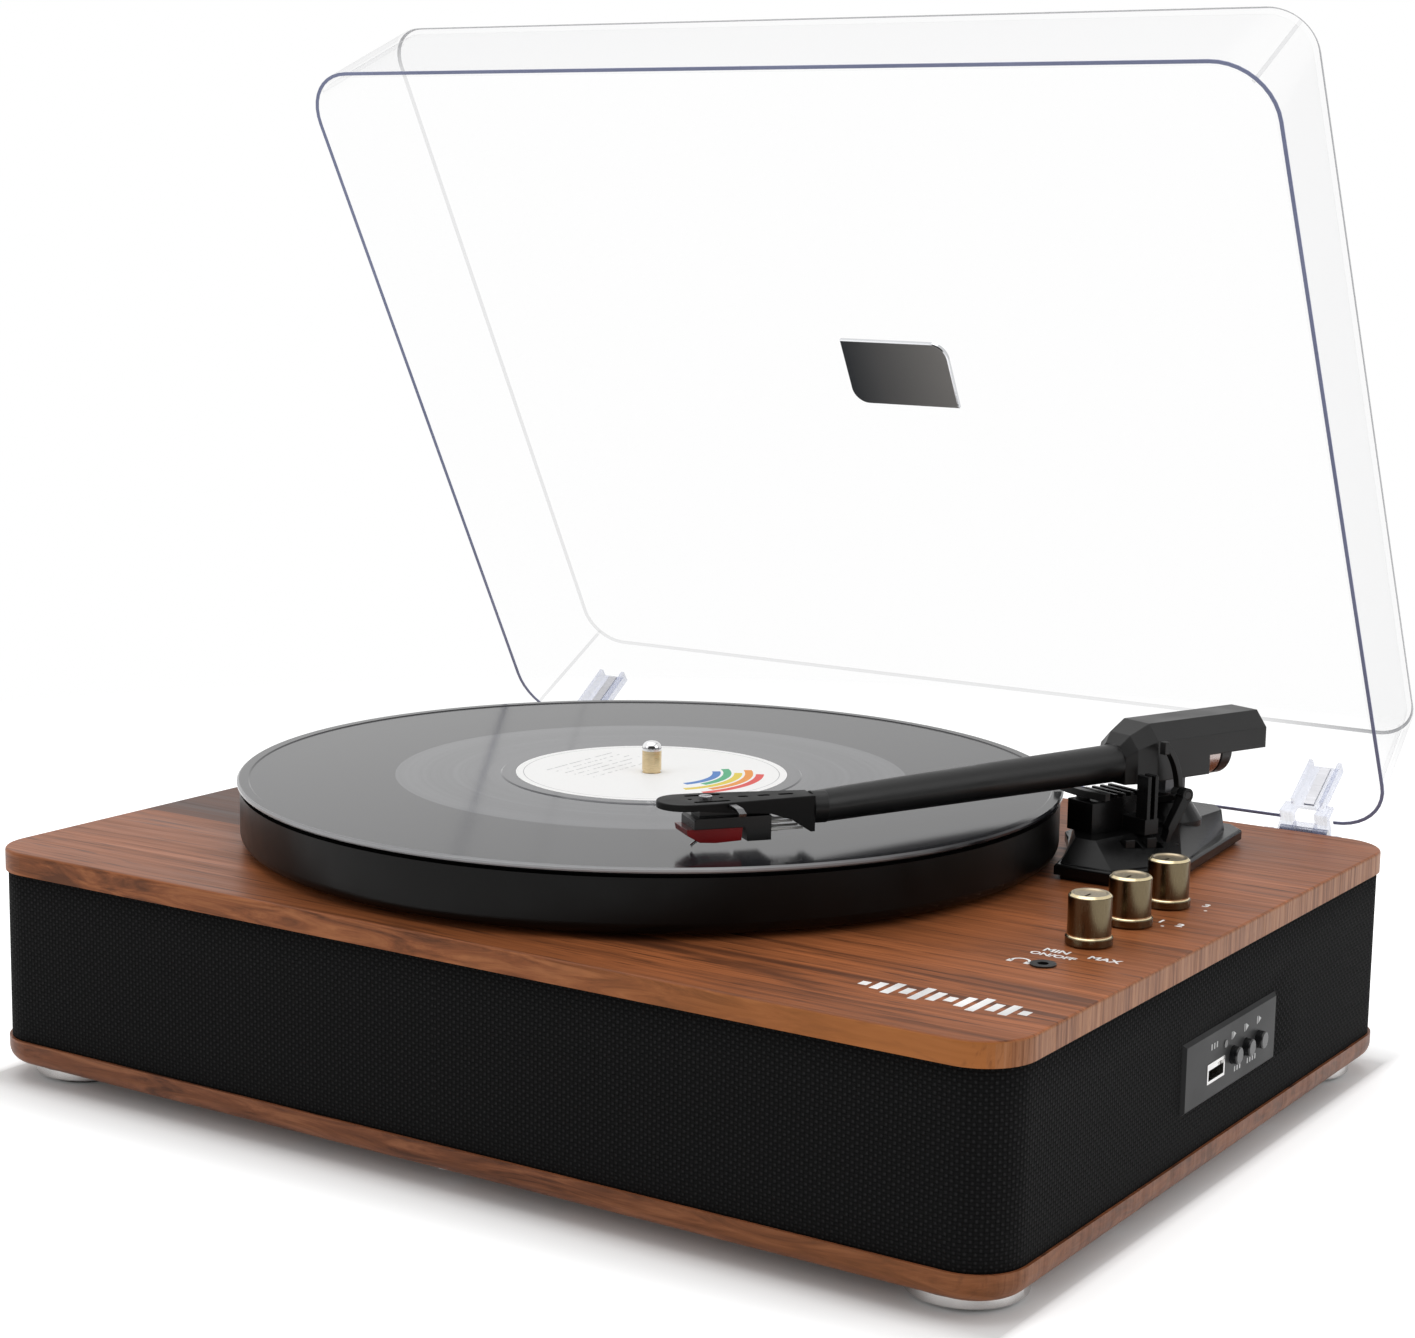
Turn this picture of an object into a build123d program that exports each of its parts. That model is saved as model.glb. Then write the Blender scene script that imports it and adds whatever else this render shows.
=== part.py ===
from build123d import *
import os
from math import atan2, cos, degrees, radians, sin

os.makedirs("parts", exist_ok=True)

# Cabinet: driving dimensions in millimetres, X to the right, -Y to the front, Z up from the floor.
# Places are measured from the middle of the plinth, which stands plinth_y from the origin so that
# the origin lies under the middle of the player with its cover open.
plinth_w = 410.0
plinth_d = 316.0
plinth_corner_r = 18.0
plinth_y = -23.8
pad_t = 1.5
pad_r = 15.0
foot_h = 4.7
foot_r = 19.0
foot_groove = 1.2
foot_inset_x = 24.0
foot_inset_y = 26.0
bottom_t = 9.5
bottom_edge_r = 6.0
grille_h = 61.5
top_t = 8.0
top_edge_r = 1.0
cloth_inset = 1.0
cloth_t = 0.8
wall_t = 12.0

# Screws under the cabinet
screw_head_r = 3.5
screw_head_t = 2.0
screw_r = 1.75
screw_bite = 14.0
foot_screw_bite = 5.0
bottom_screw_y = 62.0

# Loudspeakers behind the front cloth
speaker_inset = 65.0
cone_r = 25.5
basket_flange = 3.0
basket_flange_t = 2.5
basket_depth = 15.0
basket_wall = 2.0
magnet_r = 19.0
magnet_t = 12.0
cone_t = 1.0
cone_proud = 1.0
cone_gap = 0.2
voice_coil_r = 8.5

# Platter, record and spindle
spindle_x = -23.6
spindle_y = 0.3
spindle_r = 3.5
spindle_pin_r = 3.57
spindle_groove_r = 3.2
spindle_groove_h = 1.0
spindle_proud = 11.6
spindle_dome = 2.6
spindle_depth = 19.7
bearing_fit = 0.05
bearing_r = 7.0
bearing_floor = 2.0
bearing_end_gap = 0.3
bearing_flange_r = 20.0
bearing_flange_t = 1.5
bearing_proud = 4.7
hub_gap = 0.3
hub_r = 12.0
record_overhang = 1.0
platter_lift = 2.0
platter_h = 19.0
platter_web_t = 3.5
platter_rim_t = 5.0
platter_edge_r = 4.0
drive_ring_r = 75.0
drive_ring_t = 2.5
drive_ring_lift = 4.5
mat_margin = 4.0
mat_t = 1.6
record_r = 151.0
record_t = 1.9
record_edge = 0.6
record_bead_w = 4.0
record_dip = 0.35
record_hole_gap = 0.15
label_r = 50.0
label_t = 0.15
label_land = 5.0

# Motor, pulley and belt under the platter
motor_reach = 105.0
motor_angle = 150.0
motor_r = 16.0
motor_h = 22.0
motor_flange_r = 22.0
motor_flange_t = 2.0
motor_shaft_r = 1.5
motor_shaft_fit = 0.1
motor_shaft_bite = 6.0
pulley_r = 5.0
pulley_lift = 4.0
pulley_h = 9.0
pulley_rim = 0.8
pulley_hole_r = 8.0
belt_t = 0.8
belt_h = 4.0
belt_lift = 6.5
belt_gap = 0.3

# Tonearm: pivot place, heading of the tube at rest, heights above the top board
pivot_clear = 38.032
pivot_bearing = 30.0646
arm_heading = 21.0
arm_axis_h = 36.0
arm_nose_u = -17.0
arm_brow_u = -25.0
arm_neck_u = -28.5
arm_end_u = -165.0
arm_end_p = 1.8
arm_neck_r = 6.9
arm_mid_r = 6.3
arm_end_r = 5.4
arm_elbow_l = 3.0
housing_rear_u = 38.5
housing_step_u = 9.5
housing_half_w = 11.5
housing_top_half_w = 6.4
housing_top_h = 50.3
housing_chamfer_h = 44.5
housing_floor_h = 30.0
housing_rear_floor_h = 37.0
brow_half_w = 9.6
brow_top_half_w = 5.0
brow_top_h = 46.5
brow_chamfer_h = 41.8
brow_floor_h = 29.5
neck_half_w = 6.8
neck_top_half_w = 3.6
neck_top_h = 42.8
neck_chamfer_h = 39.0
neck_floor_h = 29.1
yoke_half_w = 4.0
yoke_half_l = 5.0
yoke_gap = 1.0
yoke_swing_gap = 3.0
yoke_head = 5.0
yoke_roof_gap = 2.5
yoke_flange_r = 7.0
yoke_flange_t = 3.0
swivel_r = 4.0
swivel_fit = 0.06
swivel_depth = 18.0
pivot_pin_r = 1.5
pivot_pin_fit = 0.1
pivot_pin_inset = 1.0
weight_r = 9.6
weight_h = 37.0
weight_l = 8.5
weight_cap_l = 5.5
weight_chamfer = 1.0

# Headshell, cartridge and stylus
headshell_heading = 37.7
headshell_top_h = 40.8
headshell_t = 2.2
headshell_l = 55.0
headshell_half_w = 9.0
headshell_neck_half_w = 4.8
headshell_shoulder = 38.0
headshell_start = 2.0
headshell_wall = 1.4
headshell_edge = 0.4
skirt_start = 44.0
skirt_knee = 18.0
skirt_knee_h = 35.9
skirt_end = 9.5
skirt_end_h = 33.0
fin_start = 3.5
fin_h = 28.8
socket_l = 13.0
slot_x = 5.0
slot_y = -38.0
slot_l = 12.5
slot_w = 2.0
spare_hole_r = 0.8
spare_hole_pitch = 10.8
oval_w = 2.0
oval_front_y = -25.6
oval_front_l = 3.6
oval_middle_y = -18.4
oval_middle_l = 4.4
oval_back_y = -10.7
oval_back_l = 5.4
screw_y = -38.6
cartridge_screw_r = 1.6
cartridge_screw_head_r = 2.2
cartridge_screw_head_t = 0.9
screw_slot_w = 0.8
cartridge_front = -44.5
cartridge_l = 26.5
cartridge_half_w = 6.6
cartridge_top_h = 35.5
cartridge_floor_h = 32.0
cartridge_nose = 0.8
cartridge_neck_front = -42.0
cartridge_neck_l = 21.0
cartridge_neck_half_w = 4.2
cartridge_tail_l = 8.2
cartridge_tail_floor_h = 27.3
stylus_front = -47.0
stylus_l = 20.1
stylus_half_w = 6.2
stylus_floor_h = 27.2
stylus_brow = 2.0
stylus_nose = 4.5
stylus_rise = 0.4
stylus_tail = 1.3
stylus_y = -43.1
stylus_slot_w = 3.0
stylus_slot_l = 12.0
stylus_slot_h = 2.4
stylus_clear = 0.3
cantilever_r = 0.45
cantilever_run = 5.0
pin_r = 0.6
pin_l = 4.0
pin_x = 2.4
pin_low_h = 29.8
pin_pitch_h = 2.6
lead_r = 0.4
finger_y = -32.3
finger_root_x = 8.5
finger_l = 10.0
finger_w = 2.4
finger_t = 1.2
finger_drop = 1.0

# Tonearm base, arm rest and lift
base_foot_h = 1.8
base_plate_h = 5.5
base_foot_inset = 2.0
base_body_h = 13.5
plate_left = 34.0
plate_nose_left = 28.0
plate_nose_right = 8.0
plate_right = 24.0
plate_back_right = 18.0
plate_back_corner = 11.0
plate_front = 64.0
plate_shoulder = 38.0
plate_left_shoulder = 35.0
plate_back_shoulder = 29.0
plate_back = 36.0
body_left = 30.0
body_waist = 21.2
body_nose_left = 12.5
body_nose_right = 7.0
body_right = 22.0
body_back_right = 13.3
body_back_corner = 7.8
body_front = 61.5
body_waist_front = 37.5
body_shoulder = 35.0
body_left_shoulder = 11.0
body_back_shoulder = 23.5
body_back = 29.5
roof_left = 27.0
roof_waist = 19.5
roof_nose_left = 10.5
roof_nose_right = 3.0
roof_right = 9.5
roof_back_right = 12.5
roof_back_corner = 7.0
roof_front = 54.0
roof_waist_front = 37.0
roof_shoulder = 10.0
roof_back_shoulder = 22.0
roof_back = 28.5
base_clear = 2.0
base_lip_r = 1.0
turret_r = 13.0
turret_top_r = 8.5
turret_h = 20.0
swivel_gap = 0.3
rest_block_w = 16.0
rest_block_l = 19.0
rest_block_p = 1.0
rest_block_u = -28.5
rest_block_h = 25.5
rest_rib_t = 1.5
rest_rib_h = 1.2
rest_rib_pitch = 4.0
rest_shelf_h = 19.0
rest_shelf_u = -27.6
rest_shelf_l = 6.6
rest_fin_p = 14.8
rest_fin_w = 5.4
rest_fin_t = 1.6
rest_fin_pitch = 3.6
rest_fin_h = 34.5
lift_r = 42.0
lift_w = 3.0
lift_t = 2.5
lift_h = 27.9
lift_inner_deg = 24.0
lift_outer_deg = 15.0
lift_stem_r = 2.5
lift_stem_fit = 0.06
lift_stem_l = 19.0
lift_bore_floor_h = 4.0
guide_w = 12.6
guide_p = 2.7
guide_l = 8.0
guide_h = 24.6

# Cue lever on its post, in the arm's own frame: p to the right of the arm, u to its rear
lever_p = 15.3
lever_w = 2.6
lever_t = 2.1
lever_u = -11.3
lever_h = 26.0
lever_mid_u = -15.2
lever_mid_h = 35.9
lever_tip_u = -19.0
lever_tip_h = 44.5
lever_boss_r = 2.6
lever_tab_l = 4.5
lever_pin_r = 1.5
lever_pin_fit = 0.1
lever_gap = 0.4
finger_bar_t = 2.2
finger_bar_p = 5.0
finger_bar_u = -14.5
finger_bar_h = 21.5
finger_bar_root_u = -13.5
post_w = 3.2
post_eye_r = 2.6
post_knee_u = -18.6
post_knee_h = 15.0
post_foot_u = -21.3
post_foot_h = 8.0
post_sleeve_t = 3.6
post_rod_t = 2.2

# Slide switches on the slope of the tonearm base
switch_speed_x = 4.6
switch_speed_y = -43.0
switch_stop_x = 9.2
switch_stop_y = -35.0
switch_heading = 28.0
switch_l = 4.0
switch_w = 3.0
switch_top_h = 13.0
switch_floor_h = 5.0
switch_travel = 3.0
switch_gap = 0.3

# Control knobs, potentiometers and headphone jack on the top board
knob_inset = 30.7
knob_mid_y = -10.8
knob_pitch = 30.7
knob_r = 7.1
knob_skirt_r = 7.7
knob_skirt_h = 2.2
knob_h = 17.0
knob_gap = 0.6
knob_chamfer = 0.9
knob_dish = 0.4
knob_dish_r = 5.4
knob_line_w = 0.8
knob_line_l = 5.0
shaft_r = 3.0
shaft_hole_gap = 0.4
shaft_fit = 0.1
shaft_bite = 2.0
shaft_end_gap = 1.0
pot_w = 17.0
pot_h = 9.0
jack_inset = 31.4
jack_y = -72.8
jack_r = 3.4
jack_collar_r = 4.2
jack_collar_t = 0.6
jack_bore_r = 1.8
jack_body_w = 12.0
jack_bore_l = 15.0
board_t = 1.6
control_board_w = 30.0
control_board_margin = 12.0

# Panel on the right side
panel_y = 6.8
panel_z = 42.65
panel_w = 77.6
panel_h = 23.9
panel_t = 2.0
panel_bevel = 1.2
boss_w = 70.0
boss_h = 17.0
boss_l = 8.0
usb_y = -6.6
usb_z = 40.2
usb_w = 14.4
usb_h = 6.8
usb_wall = 1.0
usb_tongue_t = 1.6
usb_tongue_gap = 0.8
usb_proud = 0.2
button_mid_y = 18.8
button_pitch = 10.9
button_z = 41.8
button_r = 3.0
button_fit = 0.15
button_flange_r = 4.0
button_flange_t = 1.8
button_flange_fit = 0.2
button_seat = 0.3
button_bore_l = 4.3
button_proud = 2.6
button_edge = 0.6
led_y = 1.0
led_z = 47.2
led_r = 1.5
led_proud = 0.3
led_l = 6.0
panel_board_gap = 1.4
panel_board_w = 66.0
panel_board_h = 15.0
tact_w = 5.0
tact_h = 1.8
tact_pin_r = 1.7
tact_pin_h = 0.6

# Panel on the back
rear_inset = 107.0
rear_panel_w = 96.0
rear_panel_h = 34.0
rear_panel_t = 1.8
rear_boss_w = 88.0
rear_boss_h = 26.0
rca_x = 26.0
rca_pitch = 18.0
rca_r = 4.2
rca_bore_r = 1.6
rca_bore_l = 8.0
rca_proud = 8.0
inlet_x = -28.0
inlet_r = 5.5
inlet_bore_r = 2.75
inlet_bore_l = 9.0
inlet_pin_r = 1.0
inlet_proud = 0.8
inlet_l = 12.0

# Amplifier board on the bottom board
amp_x = 40.0
amp_y = 60.0
amp_w = 120.0
amp_d = 80.0
standoff_r = 3.0
standoff_h = 6.0
standoff_inset = 6.0
capacitor_r = 6.0
capacitor_h = 18.0
capacitor_pitch = 18.0
heat_sink_w = 36.0
heat_sink_t = 10.0
heat_sink_h = 22.0
heat_sink_slots = 4
heat_sink_slot_w = 3.0

# Dust cover, drawn closed in its own plane and held open at lid_angle
lid_angle = 61.0
lid_side_gap = 4.0
lid_h = 51.0
lid_draft = 5.0
lid_wall = 2.4
lid_corner_r = 22.0
lid_edge_r = 3.5
lid_axis_back = 2.3
lid_axis_drop = 3.9
hinge_overhang = 4.2
hinge_drop = 0.7
hinge_inset = 37.0
barrel_r = 3.4
barrel_half_l = 4.0
barrel_gap = 0.3
barrel_outer_half_l = 9.5
hinge_pin_r = 1.5
hinge_pin_fit = 0.1
leaf_w = 13.0
leaf_l = 22.0
leaf_t = 1.5
leaf_start = 3.0
leaf_arm_top = 0.5
leaf_arm_floor = 2.7
leaf_rib_t = 1.5
leaf_rib_h = 5.0
leaf_seat = 0.05
spring_w = 4.0
spring_l = 20.0
spring_t = 0.8
bracket_w = 34.0
bracket_h = 30.0
bracket_t = 2.5
bracket_top = 0.5
hinge_screw_pitch = 26.0
hinge_screw_drop = 4.0
hinge_screw_r = 1.5
hinge_screw_bite = 12.0
hinge_screw_head_r = 3.0
hinge_screw_head_t = 1.8
badge_x = 5.0
badge_y = -161.0
badge_w = 47.0
badge_h = 29.0
badge_t = 1.8
badge_corner_r = 7.0
badge_edge = 0.5

# Levels that follow from the driving dimensions
bottom_z = pad_t + foot_h
frame_z = bottom_z + bottom_t
under_z = frame_z + grille_h
top_z = under_z + top_t
platter_z = top_z + platter_lift
platter_top = platter_z + platter_h
web_z = platter_top - platter_web_t
record_z = platter_top + mat_t
record_top = record_z + record_t
platter_r = record_r - record_overhang
mat_r = platter_r - mat_margin
foot_x = plinth_w / 2 - foot_inset_x
foot_y = plinth_d / 2 - foot_inset_y
speaker_x = plinth_w / 2 - speaker_inset
knob_x = plinth_w / 2 - knob_inset
jack_x = plinth_w / 2 - jack_inset
rear_x = rear_inset - plinth_w / 2
pivot_reach = record_r + pivot_clear
pivot_x = spindle_x + pivot_reach * cos(radians(pivot_bearing))
pivot_y = spindle_y + pivot_reach * sin(radians(pivot_bearing))
base_clear_r = record_r + base_clear
lid_w = plinth_w - 2 * lid_side_gap
lid_d = plinth_d
hinge_x = plinth_w / 2 - hinge_inset
hinge_y = plinth_d / 2 + hinge_overhang
frame_w = plinth_w - 2 * (cloth_inset + cloth_t)
frame_d = plinth_d - 2 * (cloth_inset + cloth_t)
frame_corner_r = plinth_corner_r - cloth_inset - cloth_t
speaker_z = frame_z + grille_h / 2
baffle_y = wall_t - frame_d / 2
axis_z = top_z + arm_axis_h
motor_x = spindle_x + motor_reach * cos(radians(motor_angle))
motor_y = spindle_y + motor_reach * sin(radians(motor_angle))
foot_places = [(sx * foot_x, sy * foot_y) for sx in (-1, 1) for sy in (-1, 1)]
rail_x = (frame_w - wall_t) / 2
rail_y = (frame_d - wall_t) / 2
bottom_screw_places = [(sx * rail_x, sy * bottom_screw_y) for sx in (-1, 1) for sy in (-1, 1)]
bottom_screw_places += [(0, -rail_y), (0, rail_y)]
knob_places = {
    "knob_volume": (knob_x, knob_mid_y - knob_pitch),
    "knob_tone": (knob_x, knob_mid_y),
    "knob_source": (knob_x, knob_mid_y + knob_pitch),
}
button_places = {
    "button_previous": (button_mid_y - button_pitch, button_z),
    "button_play": (button_mid_y, button_z),
    "button_next": (button_mid_y + button_pitch, button_z),
}
switch_places = {
    "switch_speed": (pivot_x + switch_speed_x, pivot_y + switch_speed_y),
    "switch_stop": (pivot_x + switch_stop_x, pivot_y + switch_stop_y),
}
rear_z = speaker_z
hinge_z = top_z - hinge_drop
hinge_sides = (-hinge_x, hinge_x)
hinge_screw_places = [
    (x + side * hinge_screw_pitch / 2, top_z - hinge_screw_drop) for x in hinge_sides for side in (-1, 1)
]

# Planes that the sub-assemblies share
heading_cos = cos(radians(arm_heading))
heading_sin = sin(radians(arm_heading))
arm_plane = Plane((pivot_x, plinth_y + pivot_y, 0), x_dir=(heading_cos, -heading_sin, 0), z_dir=(0, 0, 1))
lid_cos = cos(radians(lid_angle))
lid_sin = sin(radians(lid_angle))
lid_y = hinge_y - lid_axis_back * lid_cos + lid_axis_drop * lid_sin
lid_z = hinge_z + lid_axis_back * lid_sin + lid_axis_drop * lid_cos
lid_plane = Plane((0, plinth_y + lid_y, lid_z), x_dir=(1, 0, 0), z_dir=(0, lid_sin, lid_cos))
head_cos = cos(radians(headshell_heading))
head_sin = sin(radians(headshell_heading))
head_joint = arm_plane.from_local_coords(Vector(arm_end_p, arm_end_u, 0))
head_plane = Plane(head_joint, x_dir=(head_cos, -head_sin, 0), z_dir=(0, 0, 1))


def level(z):
    """Level plane at height z, drawn as (x, y) from the middle of the plinth."""
    return Plane((0, plinth_y, z))


def across(y):
    """Upright plane across the plinth at y, drawn as (x, height) and facing the front."""
    return Plane((0, plinth_y + y, 0), x_dir=(1, 0, 0), z_dir=(0, -1, 0))


def along(x):
    """Upright plane along the plinth at x, drawn as (y, height) and facing right."""
    return Plane((x, plinth_y, 0), x_dir=(0, 1, 0), z_dir=(1, 0, 0))


def turning(x, y):
    """Plane for a half profile drawn as (radius, height) and turned about the upright axis at x, y."""
    return Plane((x, plinth_y + y, 0), x_dir=(1, 0, 0), z_dir=(0, -1, 0))


def upright(x, y):
    """Upright axis at x, y."""
    return Axis((x, plinth_y + y, 0), (0, 0, 1))


def speaker_plane(x):
    """Plane through a loudspeaker's axis at x, drawn as (depth, radius) from the back of the baffle."""
    return Plane((x, plinth_y + baffle_y, speaker_z), x_dir=(0, 1, 0), z_dir=(1, 0, 0))


def speaker_axis(x):
    """Axis of the loudspeaker at x."""
    return Axis((x, plinth_y + baffle_y, speaker_z), (0, 1, 0))


def arm_section(u):
    """Plane across the arm at u, drawn as (p, height) and facing the headshell."""
    return Plane(arm_plane.from_local_coords(Vector(0, u, 0)), x_dir=arm_plane.x_dir, z_dir=-arm_plane.y_dir)


def arm_side(p):
    """Plane along the arm at p, drawn as (u, height) and facing right."""
    return Plane(arm_plane.from_local_coords(Vector(p, 0, 0)), x_dir=arm_plane.y_dir, z_dir=arm_plane.x_dir)


def head_side(x):
    """Plane along the headshell at x, drawn as (y, height) and facing right."""
    origin = head_plane.from_local_coords(Vector(x, 0, 0))
    return Plane(origin, x_dir=head_plane.y_dir, z_dir=head_plane.x_dir)


def head_section(y):
    """Plane across the headshell at y, drawn as (x, height) and facing its tip."""
    origin = head_plane.from_local_coords(Vector(0, y, 0))
    return Plane(origin, x_dir=head_plane.x_dir, z_dir=-head_plane.y_dir)


def six_sided(half_w, top_half_w, floor, chamfer, roof):
    """Outline of the arm moulding: upright sides with two chamfers under a flat top."""
    right = [(half_w, floor), (half_w, chamfer), (top_half_w, roof)]
    left = [(-p, z) for p, z in reversed(right)]
    return [(p, top_z + z) for p, z in right + left]


# Top board
with BuildPart() as top_board:
    with BuildSketch(level(under_z)):
        RectangleRounded(plinth_w, plinth_d, plinth_corner_r)
    extrude(amount=top_t)
    fillet(top_board.faces().sort_by(Axis.Z)[-1].edges(), top_edge_r)
    with BuildSketch(level(under_z)):
        with Locations((spindle_x, spindle_y)):
            Circle(bearing_r)
        with Locations((motor_x, motor_y)):
            Circle(pulley_hole_r)
        with Locations((pivot_x, pivot_y)):
            Circle(swivel_r + swivel_fit)
        with Locations(*knob_places.values()):
            Circle(shaft_r + shaft_hole_gap)
        with Locations((jack_x, jack_y)):
            Circle(jack_r)
    extrude(amount=top_t, mode=Mode.SUBTRACT)
    with BuildSketch(across(plinth_d / 2)):
        with Locations(*hinge_screw_places):
            Circle(hinge_screw_r)
    extrude(amount=hinge_screw_bite, mode=Mode.SUBTRACT)
top_board.part.label = "top_board"
export_step(top_board.part, "parts/top_board.step")

# Fibreboard ring of the cabinet, with its speaker and panel openings
with BuildPart() as cabinet_frame:
    with BuildSketch(level(frame_z)):
        RectangleRounded(frame_w, frame_d, frame_corner_r)
        offset(amount=-wall_t, mode=Mode.SUBTRACT)
    extrude(amount=grille_h)
    with BuildSketch(across(baffle_y)):
        with Locations((-speaker_x, speaker_z), (speaker_x, speaker_z)):
            Circle(cone_r)
    extrude(amount=wall_t, mode=Mode.SUBTRACT)
    with BuildSketch(along(frame_w / 2)):
        with Locations((panel_y, panel_z)):
            Rectangle(boss_w, boss_h)
    extrude(amount=-wall_t, mode=Mode.SUBTRACT)
    with BuildSketch(across(frame_d / 2)):
        with Locations((rear_x, rear_z)):
            Rectangle(rear_boss_w, rear_boss_h)
    extrude(amount=wall_t, mode=Mode.SUBTRACT)
    with BuildSketch(level(frame_z)):
        with Locations(*bottom_screw_places):
            Circle(screw_r)
    extrude(amount=screw_bite, mode=Mode.SUBTRACT)
cabinet_frame.part.label = "cabinet_frame"
export_step(cabinet_frame.part, "parts/cabinet_frame.step")

# Woven cloth stretched round the ring, cut out at both panels
with BuildPart() as grille_cloth:
    with BuildSketch(level(frame_z)):
        RectangleRounded(frame_w + 2 * cloth_t, frame_d + 2 * cloth_t, frame_corner_r + cloth_t)
        RectangleRounded(frame_w, frame_d, frame_corner_r, mode=Mode.SUBTRACT)
    extrude(amount=grille_h)
    with BuildSketch(along(frame_w / 2)):
        with Locations((panel_y, panel_z)):
            Rectangle(panel_w, panel_h)
    extrude(amount=cloth_t, mode=Mode.SUBTRACT)
    with BuildSketch(across(frame_d / 2)):
        with Locations((rear_x, rear_z)):
            Rectangle(rear_panel_w, rear_panel_h)
    extrude(amount=-cloth_t, mode=Mode.SUBTRACT)
grille_cloth.part.label = "grille_cloth"
export_step(grille_cloth.part, "parts/grille_cloth.step")

# Bottom board with a rolled lower edge
with BuildPart() as bottom_board:
    with BuildSketch(level(bottom_z)):
        RectangleRounded(plinth_w, plinth_d, plinth_corner_r)
    extrude(amount=bottom_t)
    fillet(bottom_board.faces().sort_by(Axis.Z)[0].edges(), bottom_edge_r)
    with BuildSketch(level(bottom_z)):
        with Locations(*foot_places):
            Circle(screw_r)
    extrude(amount=foot_screw_bite, mode=Mode.SUBTRACT)
    with BuildSketch(level(bottom_z)):
        with Locations(*bottom_screw_places):
            Circle(screw_head_r)
    extrude(amount=screw_head_t, mode=Mode.SUBTRACT)
    with BuildSketch(level(bottom_z)):
        with Locations(*bottom_screw_places):
            Circle(screw_r)
    extrude(amount=bottom_t, mode=Mode.SUBTRACT)
bottom_board.part.label = "bottom_board"
export_step(bottom_board.part, "parts/bottom_board.step")

# Turned aluminium feet, each with a groove and a recess for its screw
with BuildPart() as feet:
    with BuildSketch(level(pad_t)):
        with Locations(*foot_places):
            Circle(foot_r)
    extrude(amount=foot_h)
    chamfer(feet.faces().sort_by(Axis.Z)[:4].edges(), foot_groove / 2)
    with BuildSketch(level(bottom_z - foot_groove)):
        with Locations(*foot_places):
            Circle(foot_r)
            Circle(foot_r - foot_groove, mode=Mode.SUBTRACT)
    extrude(amount=foot_groove, mode=Mode.SUBTRACT)
    with BuildSketch(level(pad_t)):
        with Locations(*foot_places):
            Circle(screw_head_r)
    extrude(amount=screw_head_t, mode=Mode.SUBTRACT)
    with BuildSketch(level(pad_t)):
        with Locations(*foot_places):
            Circle(screw_r)
    extrude(amount=foot_h, mode=Mode.SUBTRACT)
feet.part.label = "feet"
export_step(feet.part, "parts/feet.step")

# Rubber pads under the feet
with BuildPart() as foot_pads:
    with BuildSketch(level(0)):
        with Locations(*foot_places):
            Circle(pad_r)
    extrude(amount=pad_t)
foot_pads.part.label = "foot_pads"
export_step(foot_pads.part, "parts/foot_pads.step")

# Screws that hold the feet and the bottom board
with BuildPart() as underside_screws:
    with BuildSketch(level(pad_t)):
        with Locations(*foot_places):
            Circle(screw_head_r)
    extrude(amount=screw_head_t)
    with BuildSketch(level(pad_t)):
        with Locations(*foot_places):
            Circle(screw_r)
    extrude(amount=foot_h + foot_screw_bite)
    with BuildSketch(level(bottom_z)):
        with Locations(*bottom_screw_places):
            Circle(screw_head_r)
    extrude(amount=screw_head_t)
    with BuildSketch(level(bottom_z)):
        with Locations(*bottom_screw_places):
            Circle(screw_r)
    extrude(amount=bottom_t + screw_bite)
underside_screws.part.label = "underside_screws"
export_step(underside_screws.part, "parts/underside_screws.step")

# Loudspeaker baskets with their magnets, and the paper cones in them
basket_profile = [
    (0, cone_r),
    (0, cone_r + basket_flange),
    (basket_flange_t, cone_r + basket_flange),
    (basket_flange_t, cone_r + basket_wall - basket_flange_t),
    (basket_depth - basket_wall, voice_coil_r + basket_flange_t + 2 * basket_wall),
    (basket_depth - basket_wall, magnet_r),
    (basket_depth - basket_wall + magnet_t, magnet_r),
    (basket_depth - basket_wall + magnet_t, 0),
    (basket_depth, 0),
    (basket_depth, voice_coil_r + basket_flange_t),
]
cone_profile = [
    (-cone_proud, cone_r - cone_gap),
    (0, cone_r - cone_gap),
    (basket_depth - basket_wall - cone_proud, voice_coil_r),
    (basket_depth / 2, 0),
    (basket_depth / 2 - cone_t, 0),
    (basket_depth - basket_wall - cone_proud - cone_t, voice_coil_r),
    (-cone_proud, cone_r - cone_gap - cone_t),
]
with BuildPart() as speaker_baskets:
    for x in (-speaker_x, speaker_x):
        with BuildSketch(speaker_plane(x)):
            Polygon(*basket_profile, align=None)
        revolve(axis=speaker_axis(x))
speaker_baskets.part.label = "speaker_baskets"
export_step(speaker_baskets.part, "parts/speaker_baskets.step")

with BuildPart() as speaker_cones:
    for x in (-speaker_x, speaker_x):
        with BuildSketch(speaker_plane(x)):
            Polygon(*cone_profile, align=None)
        revolve(axis=speaker_axis(x))
speaker_cones.part.label = "speaker_cones"
export_step(speaker_cones.part, "parts/speaker_cones.step")

# Sleeve bearing of the platter, flanged on the top board
bore_r = spindle_r + bearing_fit
bore_floor = top_z - spindle_depth - bearing_end_gap
with BuildPart() as bearing_housing:
    with BuildSketch(turning(spindle_x, spindle_y)):
        Polygon(
            (0, bore_floor - bearing_floor),
            (bearing_r, bore_floor - bearing_floor),
            (bearing_r, top_z),
            (bearing_flange_r, top_z),
            (bearing_flange_r, top_z + bearing_flange_t),
            (bearing_r, top_z + bearing_flange_t),
            (bearing_r, top_z + bearing_proud),
            (bore_r, top_z + bearing_proud),
            (bore_r, bore_floor),
            (0, bore_floor),
            align=None,
        )
    revolve(axis=upright(spindle_x, spindle_y))
bearing_housing.part.label = "bearing_housing"
export_step(bearing_housing.part, "parts/bearing_housing.step")

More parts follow.
